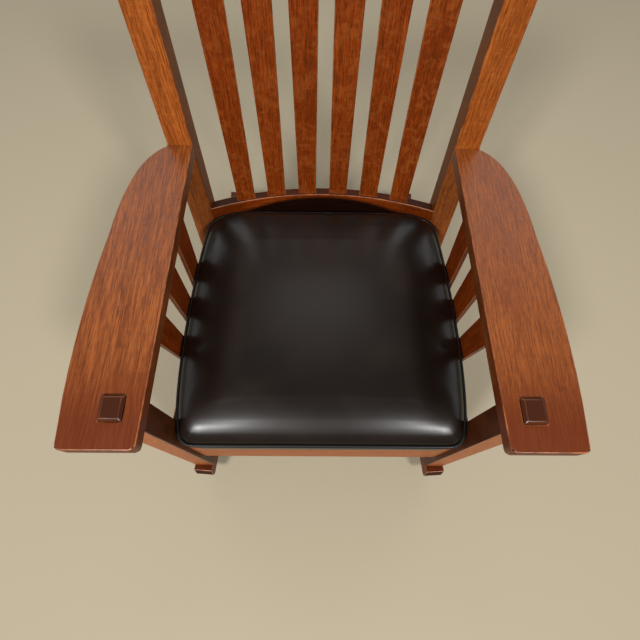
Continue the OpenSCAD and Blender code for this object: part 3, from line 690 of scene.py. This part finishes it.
def ease_edges(target: bpy.types.Object, width_mm: float) -> None:
    """Rounds a node's sharp edges a little, as sandpaper does, and gives the rounded strips the second slot.

    Args:
        target: The node's object.
        width_mm: Width of the strips.
    """
    weld = target.modifiers.new("joined_corners", "WELD")
    weld.merge_threshold = 0.00001
    bevel = target.modifiers.new("eased_edges", "BEVEL")
    bevel.width, bevel.segments, bevel.limit_method = width_mm * MM, 2, "ANGLE"
    bevel.angle_limit = math.radians(32)
    bevel.use_clamp_overlap, bevel.material = False, 1
    bevel.miter_outer = "MITER_ARC"
    weigh = target.modifiers.new("even_shading", "WEIGHTED_NORMAL")
    weigh.keep_sharp = False
    weigh.weight = 90


@dataclass(frozen=True)
class OakFrame:
    """All the stained oak boards of the chair, with their grain as a joiner would lay it.

    The rockers and their grain draw together by the taper in degrees, and the grain rises in the leaned
    layout by a share of its run, so that it is level on the floor. The side slats fan out by a share of
    their height, and the flare turns their faces.
    """

    edge_mm: float = 1.6
    taper: float = 3.815
    rocker_rise: float = 0.13
    slat_fan: float = 0.07
    slat_flare: float = 0.06

    def boards(self) -> list[Board]:
        """Lists the boards with their grain and broad face in the layout's directions."""
        rake, taper, splay = (math.radians(a) for a in (STANCE.rake, self.taper, STANCE.splay))
        post = (0, math.sin(rake), math.cos(rake))
        back = (0, -math.cos(rake), math.sin(rake))
        made: list[Board] = []
        for side, name, coarse in ((-1, "left", 1.3), (1, "right", 0.9)):
            made += [
                Board(f"rocker_{name}", (-side * math.sin(taper), math.cos(taper), self.rocker_rise),
                      (side, 0, 0), Tone.DEEP),
                # Front legs: paler tone as painted light on their lit fronts; their darker narrow sides are
                # partly painted shade.
                Board(f"front_leg_{name}", (0, 0, 1), (0, -1, 0), Tone.PALE, edge=0.9, tenon=0.9),
                # Back posts: lighter tone as painted light on their fronts, which face the lamps.
                Board(f"back_post_{name}", post, back, Tone.LIGHT),
                # Arms: painted shade at their front ends, over a paler finish that is painted sheen.
                Board(f"arm_{name}", (0, 1, 0), (0, 0, 1), Tone.DEEP, 0.1, coarse, edge=0.35, polish=0.3,
                      front_shade=0.85),
                Board(f"side_seat_rail_{name}", (-side * math.sin(splay), math.cos(splay), 0), (side, 0, 0),
                      Tone.DEEP)]
            made += [Board(f"side_slat_{name}_{n}", (0, self.slat_fan * (n - 2), 1),
                           (side, self.slat_flare, 0), edge=0.0) for n in (1, 2, 3)]
        # The front seat rail's paler tone is painted light on its lit front.
        made += [Board("front_seat_rail", (1, 0, 0), (0, -1, 0), Tone.PALE),
                 Board("rear_seat_rail", (1, 0, 0), back),
                 # Lower back rail: painted shade in its hollow behind the cushion, and narrow faces darkened
                 # partly as painted shade.
                 Board("lower_back_rail", (1, 0, 0), back, edge=0.9, hollow=0.97),
                 Board("crest_rail", (1, 0, 0), back)]
        made += [Board(f"back_slat_{n}", post, back, ribbon=ribbon)
                 for n, ribbon in enumerate((0.2, 0.2, 0.2, 0.2, 0.2, 0.3), 1)]
        return made

    def wood(self, name: str) -> SawnWood:
        """Finish of a node's oak: paler at the front and on the arms and posts as painted light and sheen, or
        still as stained.
        """
        if name.startswith("front"):
            return FRONT_LIT_OAK
        return SHEEN_LIT_OAK if name.startswith(("arm", "back_post")) else OAK

    def dress(self) -> None:
        """Gives each board its material and eased edges, and the plugs over the arm screws theirs."""
        # Paler arris of most boards: partly wear, partly a painted highlight along the edges.
        worn = WornAndHighlitArris().material()
        kept = WornAndHighlitArris("stained_oak_arris", "#5c2c10", "#3c1906").material()
        boards = self.boards()
        for board in boards:
            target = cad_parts[board.node]
            set_material(target, self.wood(board.node).material(board), kept if "leg" in board.node else worn)
            ease_edges(target, self.edge_mm)
        plugs = Board("arm_screw_plugs", (0, 1, 0.1), (1, 0, 0), Tone.DEEP)
        set_material(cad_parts[plugs.node], OAK.material(plugs))
        log.info("oak boards dressed: %d", len(boards))


@dataclass(frozen=True)
class InnerWood:
    """Unfinished cleats, corner blocks and the bars of the seat frame, and the screws that hold them."""

    edge_mm: float = 1.0

    def dress(self) -> None:
        """Gives each board its own plain hardwood and eased edges, and the screws their steel."""
        across, ahead, up = (1, 0, 0), (0, 1, 0), (0, 0, 1)
        boards = [Board(name, across, up) for name in (
            "front_cleat", "rear_cleat", "seat_frame_front", "seat_frame_rear")]
        for name in ("left", "right"):
            boards += [Board(f"side_cleat_{name}", ahead, up), Board(f"seat_frame_{name}", ahead, up),
                       Board(f"front_corner_block_{name}", (1, 0.6, 0), up),
                       Board(f"rear_corner_block_{name}", (1, -0.6, 0), up)]
        for board in boards:
            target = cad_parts[board.node]
            wood = HARDWOOD.material(board)
            set_material(target, wood, wood)
            ease_edges(target, self.edge_mm)
        steel = Steel().material()
        for name in ("rocker_screws", "arm_screws", "cleat_screws"):
            set_material(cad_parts[name], steel)
        log.info("inner boards dressed: %d", len(boards))


def joined_grids(name: str, grids: list[Array], uvs: list[Array] | None = None,
                 wrap: bool = False) -> bpy.types.Mesh:
    """Makes one mesh of several grids of points, each joined as a surface of its own.

    Each face joins a point, its neighbour in the next column, and the same two in the next row.

    Args:
        name: The mesh's name.
        grids: Grids of the same number of rows and columns, in metres.
        uvs: Flat coordinates of each grid's points in metres, or none.
        wrap: Whether each grid's last column joins its first.

    Returns:
        The mesh.
    """
    rows, columns = grids[0].shape[:2]
    i, j = np.meshgrid(np.arange(rows - 1), np.arange(columns if wrap else columns - 1), indexing="ij")
    this, after = i * columns + j, i * columns + (j + 1) % columns
    quads = np.stack([this, after, after + columns, this + columns], -1)
    faces = np.concatenate([quads.reshape(-1, 4) + n * rows * columns for n in range(len(grids))])
    mesh = bpy.data.meshes.new(name)
    mesh.from_pydata(np.concatenate([g.reshape(-1, 3) for g in grids]), [], faces)
    if uvs is not None:
        layer = mesh.uv_layers.new(name="cloth")
        corners = np.zeros(len(mesh.loops), np.int32)
        mesh.loops.foreach_get("vertex_index", corners)
        flat = np.concatenate([u.reshape(-1, 2) for u in uvs])
        layer.data.foreach_set("uv", flat[corners].astype(np.float32).ravel())
    mesh.polygons.foreach_set("use_smooth", np.ones(len(mesh.polygons), bool))
    mesh.update()
    return mesh


def close_holes(mesh: bpy.types.Mesh) -> None:
    """Fills a mesh's open ends and turns its faces outwards."""
    work = bmesh.new()
    work.from_mesh(mesh)
    bmesh.ops.holes_fill(work, edges=[e for e in work.edges if e.is_boundary], sides=0)
    bmesh.ops.recalc_face_normals(work, faces=work.faces)
    work.to_mesh(mesh)
    work.free()


def thicken(target: bpy.types.Object, thickness: float) -> None:
    """Gives a cloth its thickness in millimetres, half to each side."""
    solid = target.modifiers.new("cloth_thickness", "SOLIDIFY")
    solid.thickness, solid.offset = thickness * MM, 0.0


def piece(name: str, mesh: bpy.types.Mesh, body: str, material: bpy.types.Material) -> bpy.types.Object:
    """Makes a piece that rides on a body.

    Args:
        name: The piece's name.
        mesh: Its mesh.
        body: The body that carries it.
        material: Its finish.

    Returns:
        The piece.
    """
    made = bpy.data.objects.new(name, mesh)
    bpy.context.scene.collection.objects.link(made)
    made.data.materials.append(material)
    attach(made, body)
    return made


def smooth_share(value: Array, low: float, high: float) -> Array:
    """Share of the way from low to high, as three times its square less twice its cube, and level beyond."""
    share = np.clip((value - low) / (high - low), 0, 1)
    return share ** 2 * (3 - 2 * share)


def read_off(at: Array, known: Array, values: Array) -> Array:
    """Reads a line's values off between its known places, straight from each to the next."""
    order = np.argsort(known)
    return np.interp(at, known[order], values[order])


def headings(line: Array) -> Array:
    """Unit directions along a closed line, each from the point before to the point after."""
    along = np.roll(line, -1, 0) - np.roll(line, 1, 0)
    return along / np.linalg.norm(along, axis=1)[:, None]


def measured_loop(points: Array) -> tuple[Array, Array]:
    """Closes a line, and returns it with the distance along it of each of its points."""
    closed = np.vstack([points, points[:1]])
    return closed, np.concatenate([[0], np.cumsum(np.linalg.norm(np.diff(closed, axis=0), axis=1))])


def even_loop(points: Array, count: int) -> Array:
    """Spreads a number of points round a closed line at equal steps of its length."""
    closed, length = measured_loop(points)
    steps = np.linspace(0, length[-1], count, endpoint=False)
    return np.stack([np.interp(steps, length, closed[:, k]) for k in range(points.shape[1])], 1)


def smoothed_loop(points: Array, count: int, rounding: float) -> Array:
    """Spreads points evenly round a closed line and rounds its corners.

    Each point is the average of its neighbours on the closed line under a bell curve.

    Args:
        points: Corners of the closed line.
        count: Number of points wanted.
        rounding: Reach of the bell curve, in the points' unit.

    Returns:
        The new points.
    """
    total = measured_loop(points)[1][-1]
    reach = np.minimum(np.arange(count), count - np.arange(count)) * total / count
    bell = np.exp(-0.5 * (reach / rounding) ** 2)
    spread = np.fft.fft(even_loop(points, count), axis=0)
    return np.fft.ifft(spread * np.fft.fft(bell / bell.sum())[:, None], axis=0).real


@dataclass(frozen=True)
class Pucker:
    """A short valley that the seam pulls into the leather: its start, its way and its size in millimetres."""

    start: tuple[float, float]
    way: tuple[float, float]
    length: float
    width: float
    depth: float

    def sink(self, points: Array) -> Array:
        """How far the leather sinks at each point.

        Across the valley it is a bell curve that widens along it. Along the valley it rises from nothing at
        the seam to the full depth at a quarter of the length, and then dies away as x times e to the minus x.

        Args:
            points: Places in the layout in millimetres.

        Returns:
            Depths in millimetres.
        """
        way = np.array(self.way) / np.linalg.norm(self.way)
        away = points[:, :2] - np.array(self.start)
        along = np.maximum(away @ way, 0) / (self.length / 4)
        across = away @ np.array([-way[1], way[0]])
        spread = self.width * (0.7 + along / 4)
        return self.depth * along * np.exp(1 - along) * np.exp(-(across / spread) ** 2)


@dataclass(frozen=True)
class Cushion:
    """Boxed leather cushion with piping round its top, drawn in millimetres in the chair's layout."""

    base_z: float = 355.5
    leather_gap: float = 0.6
    welt_front_z: float = 436.0
    welt_back_z: float = 455.0
    welt_r: float = 3.2
    welt_inset: float = 1.5
    front_y: float = -2.5
    back_y: float = 481.0
    front_half: float = 254.0
    front_r: float = 28.0
    # The sides run along the slats and end beside the posts, and the back keeps off the bowed rail.
    slat_half: float = 282 - 4.26
    slat_y: float = 22.0
    side_bends: tuple[float, float] = (105.0, 335.0)
    post_half: float = 231.5
    post_gap: tuple[float, float] = (6.5, 18.5)
    rail_start: float = 2.5
    rail_bow: float = 45.0
    rail_gap: float = 1.5
    rounding: tuple[float, float] = (4.0, 15.0)
    back_from: float = 360.0
    back_full: float = 430.0
    points: int = 260
    # The crown: a steep roll up from the piping, steeper at the front corners, and a slow swell.
    roll: float = 31.0
    roll_reach: float = 16.0
    corner_reach: float = 8.0
    corner_end: float = 130.0
    swell: float = 4.0
    swell_reach: float = 190.0
    # Rings of the form: shares of the underside, insets and shares of the height of its walls, and
    # depths from the edge of its top, measured at the middle of the front.
    under: tuple[float, ...] = (0.02, 0.3, 0.6, 0.85)
    under_inset: float = 9.0
    wall: tuple[tuple[float, float], ...] = (
        (8, 0.0), (4.5, 0.06), (4.5, 0.2), (6, 0.5), (5, 0.8), (4, 0.95), (2.5, 1.0))
    top: tuple[float, ...] = (3, 4.5, 6, 7.5, 9, 11, 13, 15.5, 18, 21, 24, 28, 33, 40, 52, 68, 90, 120, 155,
                              195, 225, 236)
    # The cloth: what is held, how far it may move, and how its moves are evened out.
    voxel: float = 6.0
    slack: float = 0.94
    pressure: float = 4.0
    frames: int = 20
    held_above: float = 2.0
    free_from: float = 12.0
    free_over: float = 14.0
    most_move: float = 4.0
    calm_rounds: int = 70
    # The puckers: how far above the piping they start and over what height they come to their full depth,
    # and where they are along the sides and the back.
    pucker_from: float = 1.0
    pucker_over: float = 4.0
    side_places: tuple[float, ...] = (320.0, 245.0, 175.0)
    back_places: tuple[float, ...] = (-186.0, -114.0, 14.0, 126.0, 182.0)

    def middle_z(self) -> float:
        """Height of the piping halfway from the front to the back."""
        return (self.welt_front_z + self.welt_back_z) / 2

    def slat_face(self, y: float) -> float:
        """Distance of the side slats' inner faces from the middle of the chair, less towards the back."""
        return self.slat_half - (y - self.slat_y) * math.tan(math.radians(STANCE.splay))

    def outline(self) -> Array:
        """Outline at the piping: a straight front, round front corners, bowed sides and the bowed back.

        The sides follow the cubic curve between the corner and the post, and the back follows the arc of
        the lower back rail, no further back than the middle allows. The back is rounded more than the rest.

        Returns:
            Points in x and y, running anticlockwise as seen from above.
        """
        face = STANCE.post_face(self.middle_z())
        turn = np.radians(np.linspace(270, 360, 9))[:, None]
        corner = np.array([self.front_half - self.front_r, self.front_y + self.front_r])
        arc = corner + self.front_r * np.hstack([np.cos(turn), np.sin(turn)])
        p = np.array([[self.front_half, self.front_y + self.front_r],
                      *([self.slat_face(y), y] for y in self.side_bends),
                      [self.post_half + self.post_gap[0], face - self.post_gap[1]]])
        t = np.linspace(0.05, 1, 20)[:, None]
        side = ((1 - t) ** 3 * p[0] + 3 * t * (1 - t) ** 2 * p[1] + 3 * t * t * (1 - t) * p[2]
                + t ** 3 * p[3])
        x = np.linspace(self.post_half - self.rail_start, 0, 40)
        bow_r = (self.post_half ** 2 + self.rail_bow ** 2) / (2 * self.rail_bow)
        bow = face + self.rail_bow - bow_r + np.sqrt(bow_r ** 2 - x ** 2)
        back = np.stack([x, np.minimum(self.back_y, bow - self.rail_gap)], 1)
        half = np.vstack([[[0, self.front_y]], arc, side, back])
        line = np.vstack([half, half[-2:0:-1] * [-1, 1]])
        crisp, soft = (smoothed_loop(line, self.points, reach) for reach in self.rounding)
        return crisp + smooth_share(crisp[:, 1:], self.back_from, self.back_full) * (soft - crisp)

    def welt_z(self, y: Array) -> Array:
        """Height of the piping, which rises evenly from the front to the back."""
        rise = self.welt_back_z - self.welt_front_z
        return self.welt_front_z + rise * (y - self.front_y) / (self.back_y - self.front_y)

    def leaned(self, points: Array) -> Array:
        """Moves points back with the slope of the posts, the more the nearer they are to the back."""
        moved = points.copy()
        moved[..., 1] += ((points[..., 2] - self.middle_z()) * math.tan(math.radians(STANCE.rake))
                          * points[..., 1] / self.back_y)
        return moved

    def inward(self, line: Array) -> Array:
        """Unit directions across the outline that point into the cushion."""
        along = headings(line)
        return np.stack([-along[:, 1], along[:, 0]], 1)

    def rise(self, ring: Array, line: Array) -> Array:
        """Height of the crown above the piping.

        It rolls up from each edge as one less e to the power of minus the distance over the roll's reach,
        which is short at the sides of the front corners, and the three are multiplied. A slow swell goes on
        to the middle as the sine of the distance from the four sides, of which the nearest counts most.

        Args:
            ring: Points in x and y.
            line: The outline.

        Returns:
            Heights in millimetres.
        """
        right, low, high = line[:, 0] >= 0, line[:, 1] < self.front_r, line[:, 1] > self.back_from
        front = ring[:, 1] - read_off(ring[:, 0], line[low, 0], line[low, 1])
        back = read_off(ring[:, 0], line[high, 0], line[high, 1]) - ring[:, 1]
        aside = read_off(ring[:, 1], line[right, 1], line[right, 0]) - np.abs(ring[:, 0])
        side_reach = self.corner_reach + ((self.roll_reach - self.corner_reach)
                                          * smooth_share(ring[:, 1], 0.0, self.corner_end))
        rolled = self.roll * np.prod([1 - np.exp(-np.maximum(gap, 0) / reach) for gap, reach in (
            (front, self.roll_reach), (back, self.roll_reach), (aside, side_reach))], axis=0)
        sides = np.stack([self.front_half - ring[:, 0], self.front_half + ring[:, 0],
                          ring[:, 1] - self.front_y, self.back_y - ring[:, 1]])
        near = (np.maximum(sides, 1.0) ** -3.0).sum(0) ** (-1 / 3)
        return rolled + self.swell * np.sin(np.minimum(near / self.swell_reach, 1) * math.pi / 2)

    def rings(self, fullness: float) -> Array:
        """Rings of points from the middle of the underside, out, up the sides and in over the top.

        Each ring is the outline drawn in by a distance or shrunk by a share about the middle, at a height
        that is a share of the way from the base to the piping, or the piping's height and the crown's rise.

        Args:
            fullness: Share of the crown's rise.

        Returns:
            Rings by points by three.
        """
        line = self.outline()
        inward = self.inward(line)
        middle = np.array([0, (self.front_y + self.back_y) / 2])
        floor = self.base_z + self.leather_gap
        made = []
        for share in self.under:
            ring = middle + share * (line + self.under_inset * inward - middle)
            made.append(np.column_stack([ring, np.full(len(ring), floor)]))
        for inset, share in self.wall:
            ring = line + inset * inward
            made.append(np.column_stack([ring, floor + (self.welt_z(ring[:, 1]) - floor) * share]))
        for depth in self.top:
            ring = middle + (1 - depth / (middle[1] - self.front_y)) * (line - middle)
            z = self.welt_z(ring[:, 1]) + fullness * self.rise(ring, line)
            made.append(np.column_stack([ring, z]))
        return self.leaned(np.array(made))

    def start(self, fullness: float) -> bpy.types.Mesh:
        """Makes the form before it is blown up, closed at both poles by its smallest rings.

        Args:
            fullness: Share of the crown's rise.

        Returns:
            The mesh.
        """
        mesh = joined_grids("cushion_pattern", [STANCE.places(self.rings(fullness))], wrap=True)
        close_holes(mesh)
        return mesh

    def baked(self, shape: bpy.types.Object) -> bpy.types.Mesh:
        """Returns a mesh with the object's modifiers applied."""
        ready = shape.evaluated_get(bpy.context.evaluated_depsgraph_get())
        return bpy.data.meshes.new_from_object(ready)

    def places_of(self, mesh: bpy.types.Mesh) -> Array:
        """Returns the mesh's vertices, one to a row."""
        values = np.zeros(len(mesh.vertices) * 3)
        mesh.vertices.foreach_get("co", values)
        return values.reshape(-1, 3)

    def calmed(self, moved: Array, mesh: bpy.types.Mesh) -> Array:
        """Evens the moves out, so that stiff leather keeps the swelling and only its broadest creases.

        Each round takes every point's move half way to the average move of the points it shares an edge with.

        Args:
            moved: The moves, one to a row.
            mesh: The mesh that they belong to.

        Returns:
            The calmer moves.
        """
        ends = np.zeros(len(mesh.edges) * 2, np.int64)
        mesh.edges.foreach_get("vertices", ends)
        a, b = ends.reshape(-1, 2).T
        count = np.bincount(ends, minlength=len(moved))[:, None]
        for _ in range(self.calm_rounds):
            total = np.stack([np.bincount(a, axis[b], len(axis)) + np.bincount(b, axis[a], len(axis))
                              for axis in moved.T], 1)
            moved = (moved + total / count) / 2
        return moved

    def blown_up(self) -> bpy.types.Mesh:
        """Blows the upper leather up as cloth, held at the piping and below, and splits its faces once.

        The form is remeshed to even squares and pressed outwards from inside without gravity. The moves
        are let go gradually above the foot of the roll, each is cut off at the most that a point may move,
        and they are then evened out.

        Returns:
            The mesh.
        """
        shape = bpy.data.objects.new("cushion_pattern", self.start(self.slack))
        bpy.context.scene.collection.objects.link(shape)
        even = shape.modifiers.new("even_squares", "REMESH")
        even.mode, even.voxel_size = "VOXEL", self.voxel * MM
        cloth_mesh = self.baked(shape)
        bpy.data.objects.remove(shape)
        shape = bpy.data.objects.new("cushion_blown", cloth_mesh)
        bpy.context.scene.collection.objects.link(shape)
        first = self.places_of(cloth_mesh)
        laid = STANCE.layout(first)
        above = laid[:, 2] - self.welt_z(laid[:, 1])
        group = shape.vertex_groups.new(name="held")
        group.add(np.nonzero(above < self.held_above)[0].tolist(), 1.0, "REPLACE")
        cloth = shape.modifiers.new("leather_under_pressure", "CLOTH")
        cloth.settings.use_pressure, cloth.settings.uniform_pressure_force = True, self.pressure
        cloth.settings.effector_weights.gravity = 0.0
        cloth.settings.vertex_group_mass = "held"
        cloth.point_cache.frame_start, cloth.point_cache.frame_end = 1, self.frames
        for frame_number in range(1, self.frames + 1):
            bpy.context.scene.frame_set(frame_number)
        free = np.clip((above[:, None] - self.free_from) / self.free_over, 0, 1)
        moved = (self.places_of(self.baked(shape)) - first) * free
        reach = np.linalg.norm(moved, axis=1)[:, None] / MM
        moved = self.calmed(moved * np.minimum(1, self.most_move / np.maximum(reach, 1e-6)), cloth_mesh)
        log.info("cushion blown up: %d points, moved %.1f mm at most", len(moved),
                 np.linalg.norm(moved, axis=1).max() / MM)
        shape.modifiers.remove(cloth)
        cloth_mesh.vertices.foreach_set("co", (first + moved).ravel())
        bpy.context.scene.frame_set(1)
        split = shape.modifiers.new("split_once", "SUBSURF")
        split.levels = split.render_levels = 1
        mesh = self.baked(shape)
        bpy.data.objects.remove(shape)
        return mesh

    def puckers(self) -> list[Pucker]:
        """Lists the valleys along the sides and the back, and three shorter ones round each front corner."""
        made = [Pucker((side * 249, y), (-side, 0), 46, 10, 2.8)
                for side in (-1, 1) for y in self.side_places]
        made += [Pucker((x, 480), (0, -1), 32, 7, 1.7) for x in self.back_places]
        for side in (-1, 1):
            made += [Pucker((side * 226, -2), (-side * 0.3, 1), 24, 3.5, 1.2),
                     Pucker((side * 245, 8), (-side, 1), 26, 4, 1.5),
                     Pucker((side * 253, 26), (-side, 0.3), 24, 3.5, 1.2)]
        return made

    def body(self) -> bpy.types.Mesh:
        """Makes the leather body: blown up as cloth, and then puckered."""
        mesh = self.blown_up()
        laid = STANCE.layout(self.places_of(mesh))
        above = np.clip((laid[:, 2] - self.welt_z(laid[:, 1]) - self.pucker_from) / self.pucker_over, 0, 1)
        laid[:, 2] -= above * sum(pucker.sink(laid) for pucker in self.puckers())
        mesh.vertices.foreach_set("co", STANCE.places(laid).ravel())
        mesh.polygons.foreach_set("use_smooth", np.ones(len(mesh.polygons), bool))
        mesh.name = "seat_cushion_leather"
        mesh.update()
        return mesh

    def piping(self) -> bpy.types.Mesh:
        """Tube of leather round a cord, a circle carried along the outline at the height of the piping."""
        line = self.outline()
        path = self.leaned(np.column_stack([line + self.welt_inset * self.inward(line),
                                            self.welt_z(line[:, 1])]))
        along = headings(path)
        side = np.cross(along, [0, 0, 1.0])
        side /= np.linalg.norm(side, axis=1)[:, None]
        up = np.cross(side, along)
        turn = np.linspace(0, 2 * math.pi, 12, endpoint=False)[None, :, None]
        tube = path[:, None] + self.welt_r * (np.cos(turn) * side[:, None] + np.sin(turn) * up[:, None])
        return joined_grids("seat_cushion_piping", [STANCE.places(np.vstack([tube, tube[:1]]))], wrap=True)

    def make(self) -> None:
        """Makes the cushion and its piping."""
        leather = Leather().material()
        body = piece("seat_cushion_leather", self.body(), "seat", leather)
        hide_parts("seat_cushion", "seat_filling")
        piping = Leather("piping_leather", "#070605", "#0d0b0a", 0.5).material()
        piece("seat_cushion_piping", self.piping(), "seat", piping)
        log.info("cushion made: %d faces", len(body.data.polygons))


@dataclass(frozen=True)
class SeatUnderside:
    """Jute straps woven over the seat frame, and the tacked cambric below it, in millimetres."""

    front: float = 34.0
    back: float = 450.237
    front_half: float = 257.5
    back_half: float = 241.068
    bar: float = 50.0
    bar_top: float = 352.5
    bar_low: float = 330.5
    strap: float = 50.0
    strap_t: float = 1.2
    strap_end: float = 8.0
    strap_rise: float = 1.5
    strap_level: float = 0.36
    long_straps: int = 5
    cross_straps: int = 4
    lift: float = 0.75
    cloth_t: float = 0.5
    cloth_gap: float = 0.15
    cloth_inset: float = 34.0
    cloth_sag: float = 4.0
    tack_r: float = 4.5
    tack_dome: float = 1.8
    tack_gap: float = 0.2
    tack_inset: float = 7.0
    tack_step: float = 42.0

    def straps(self, name: str, own: Array, crossed: Array, ends: tuple[float, float], turned: bool,
               phase: int) -> bpy.types.Mesh:
        """Makes one layer of straps that pass over and under the other layer.

        A strap is level where it crosses another, above or below it in turn, and runs straight between.

        Args:
            name: The mesh's name.
            own: Middles of the straps.
            crossed: Middles of the straps that they cross.
            ends: Where the straps start and end.
            turned: Whether they run across the chair.
            phase: Whether the first crossing is under or over.

        Returns:
            The mesh.
        """
        flat = self.strap * self.strap_level
        crossings = np.stack([crossed - flat, crossed + flat], 1).ravel()
        along = np.unique(np.concatenate([np.linspace(*ends, 60), crossings]))
        across = np.linspace(-self.strap / 2, self.strap / 2, 7)
        grids, uvs = [], []
        for n, middle in enumerate(own):
            signs = (-1.0) ** (n + phase + np.arange(len(crossed)))
            knots = np.concatenate([[ends[0]], crossings, [ends[1]]])
            heights = np.concatenate([[-1], np.repeat(signs, 2), [-1]])
            z = self.bar_top + self.strap_rise + self.lift * np.interp(along, knots, heights)
            a, b = np.meshgrid(along, across + middle, indexing="ij")
            x, y = (a, b) if turned else (b, a)
            grids.append(STANCE.places(np.stack([x, y, np.broadcast_to(z[:, None], a.shape)], -1)))
            uvs.append(np.stack([b, a], -1) * MM)
        return joined_grids(name, grids, uvs)

    def webbing(self) -> None:
        """Makes both layers of straps, each a sheet stretched over the bars."""
        jute = Woven("jute_webbing", "#9c8558", "#83703f", 2.5).material()
        reach, half = self.back_half - self.strap_end, self.strap / 2
        long_places = np.linspace(-reach + half, reach - half, self.long_straps)
        cross_places = np.linspace(self.front + self.bar + half, self.back - self.bar - half,
                                   self.cross_straps)
        run = (self.front + self.strap_end, self.back - self.strap_end)
        layers = (("long", long_places, cross_places, run, False, 0, ("seat_frame_front", "seat_frame_rear")),
                  ("cross", cross_places, long_places, (-reach, reach), True, 1,
                   ("seat_frame_left", "seat_frame_right")))
        for name, own, crossed, ends, turned, phase, bars in layers:
            mesh = self.straps(f"webbing_straps_{name}", own, crossed, ends, turned, phase)
            made = piece(f"webbing_straps_{name}", mesh, "seat", jute)
            thicken(made, self.strap_t)
            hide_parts(f"seat_webbing_{name}")

    def cloth(self) -> None:
        """Makes the cambric, which sags a little between its tacks, as a parabola each way."""
        inset = self.cloth_inset
        v, u = np.meshgrid(np.linspace(0, 1, 29), np.linspace(-1, 1, 37), indexing="ij")
        y = self.front + inset + v * (self.back - self.front - 2 * inset)
        half = self.front_half - inset + v * (self.back_half - self.front_half)
        sag = self.cloth_sag * (1 - u ** 2) * 4 * v * (1 - v)
        z = self.bar_low - self.cloth_t / 2 - self.cloth_gap - sag
        grid = STANCE.places(np.stack([u * half, y, z], -1))
        cambric = Woven("black_cambric", "#1c1c1e", "#262628", 1.2).material()
        mesh = joined_grids("cambric_under_seat", [grid[:, ::-1]],
                            [np.stack([u * half, y], -1)[:, ::-1] * MM])
        made = piece("cambric_under_seat", mesh, "seat", cambric)
        thicken(made, self.cloth_t)
        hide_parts("seat_dust_cover")

    def tacks(self) -> None:
        """Makes the domed heads of the tacks, each a quarter of an ellipse turned about its middle."""
        inset = self.cloth_inset + self.tack_inset
        front, back = self.front_half - inset, self.back_half - inset
        low, high = self.front + inset, self.back - inset
        corners = np.array([[-front, low], [front, low], [back, high], [-back, high]])
        places = even_loop(corners, round(measured_loop(corners)[1][-1] / self.tack_step))
        bend, turn = np.meshgrid(np.linspace(0.04, 1, 5) * math.pi / 2,
                                 np.linspace(0, 2 * math.pi, 12, endpoint=False), indexing="ij")
        dome = np.stack([self.tack_r * np.sin(bend) * np.cos(turn), self.tack_r * np.sin(bend) * np.sin(turn),
                         -self.tack_dome * np.cos(bend)], -1)
        z = self.bar_low - self.cloth_t - self.tack_gap
        mesh = joined_grids("cambric_tacks", [STANCE.places(dome + [x, y, z]) for x, y in places], wrap=True)
        close_holes(mesh)
        blued = Steel("blued_tack_steel", "#3c3f45").material()
        piece("cambric_tacks", mesh, "seat", blued)

    def make(self) -> None:
        """Makes the straps, the cambric and its tacks."""
        self.webbing()
        self.cloth()
        self.tacks()
        log.info("underside of the seat made")


def main() -> None:
    """Builds the scene in order: the camera, the studio, the boards and the seat."""
    logging.basicConfig(level=logging.INFO, format="%(name)s: %(message)s")
    PhotoCamera().make()
    Studio().make()
    OakFrame().dress()
    InnerWood().dress()
    Cushion().make()
    SeatUnderside().make()
    bpy.context.view_layer.update()


if __name__ == "__main__":
    main()
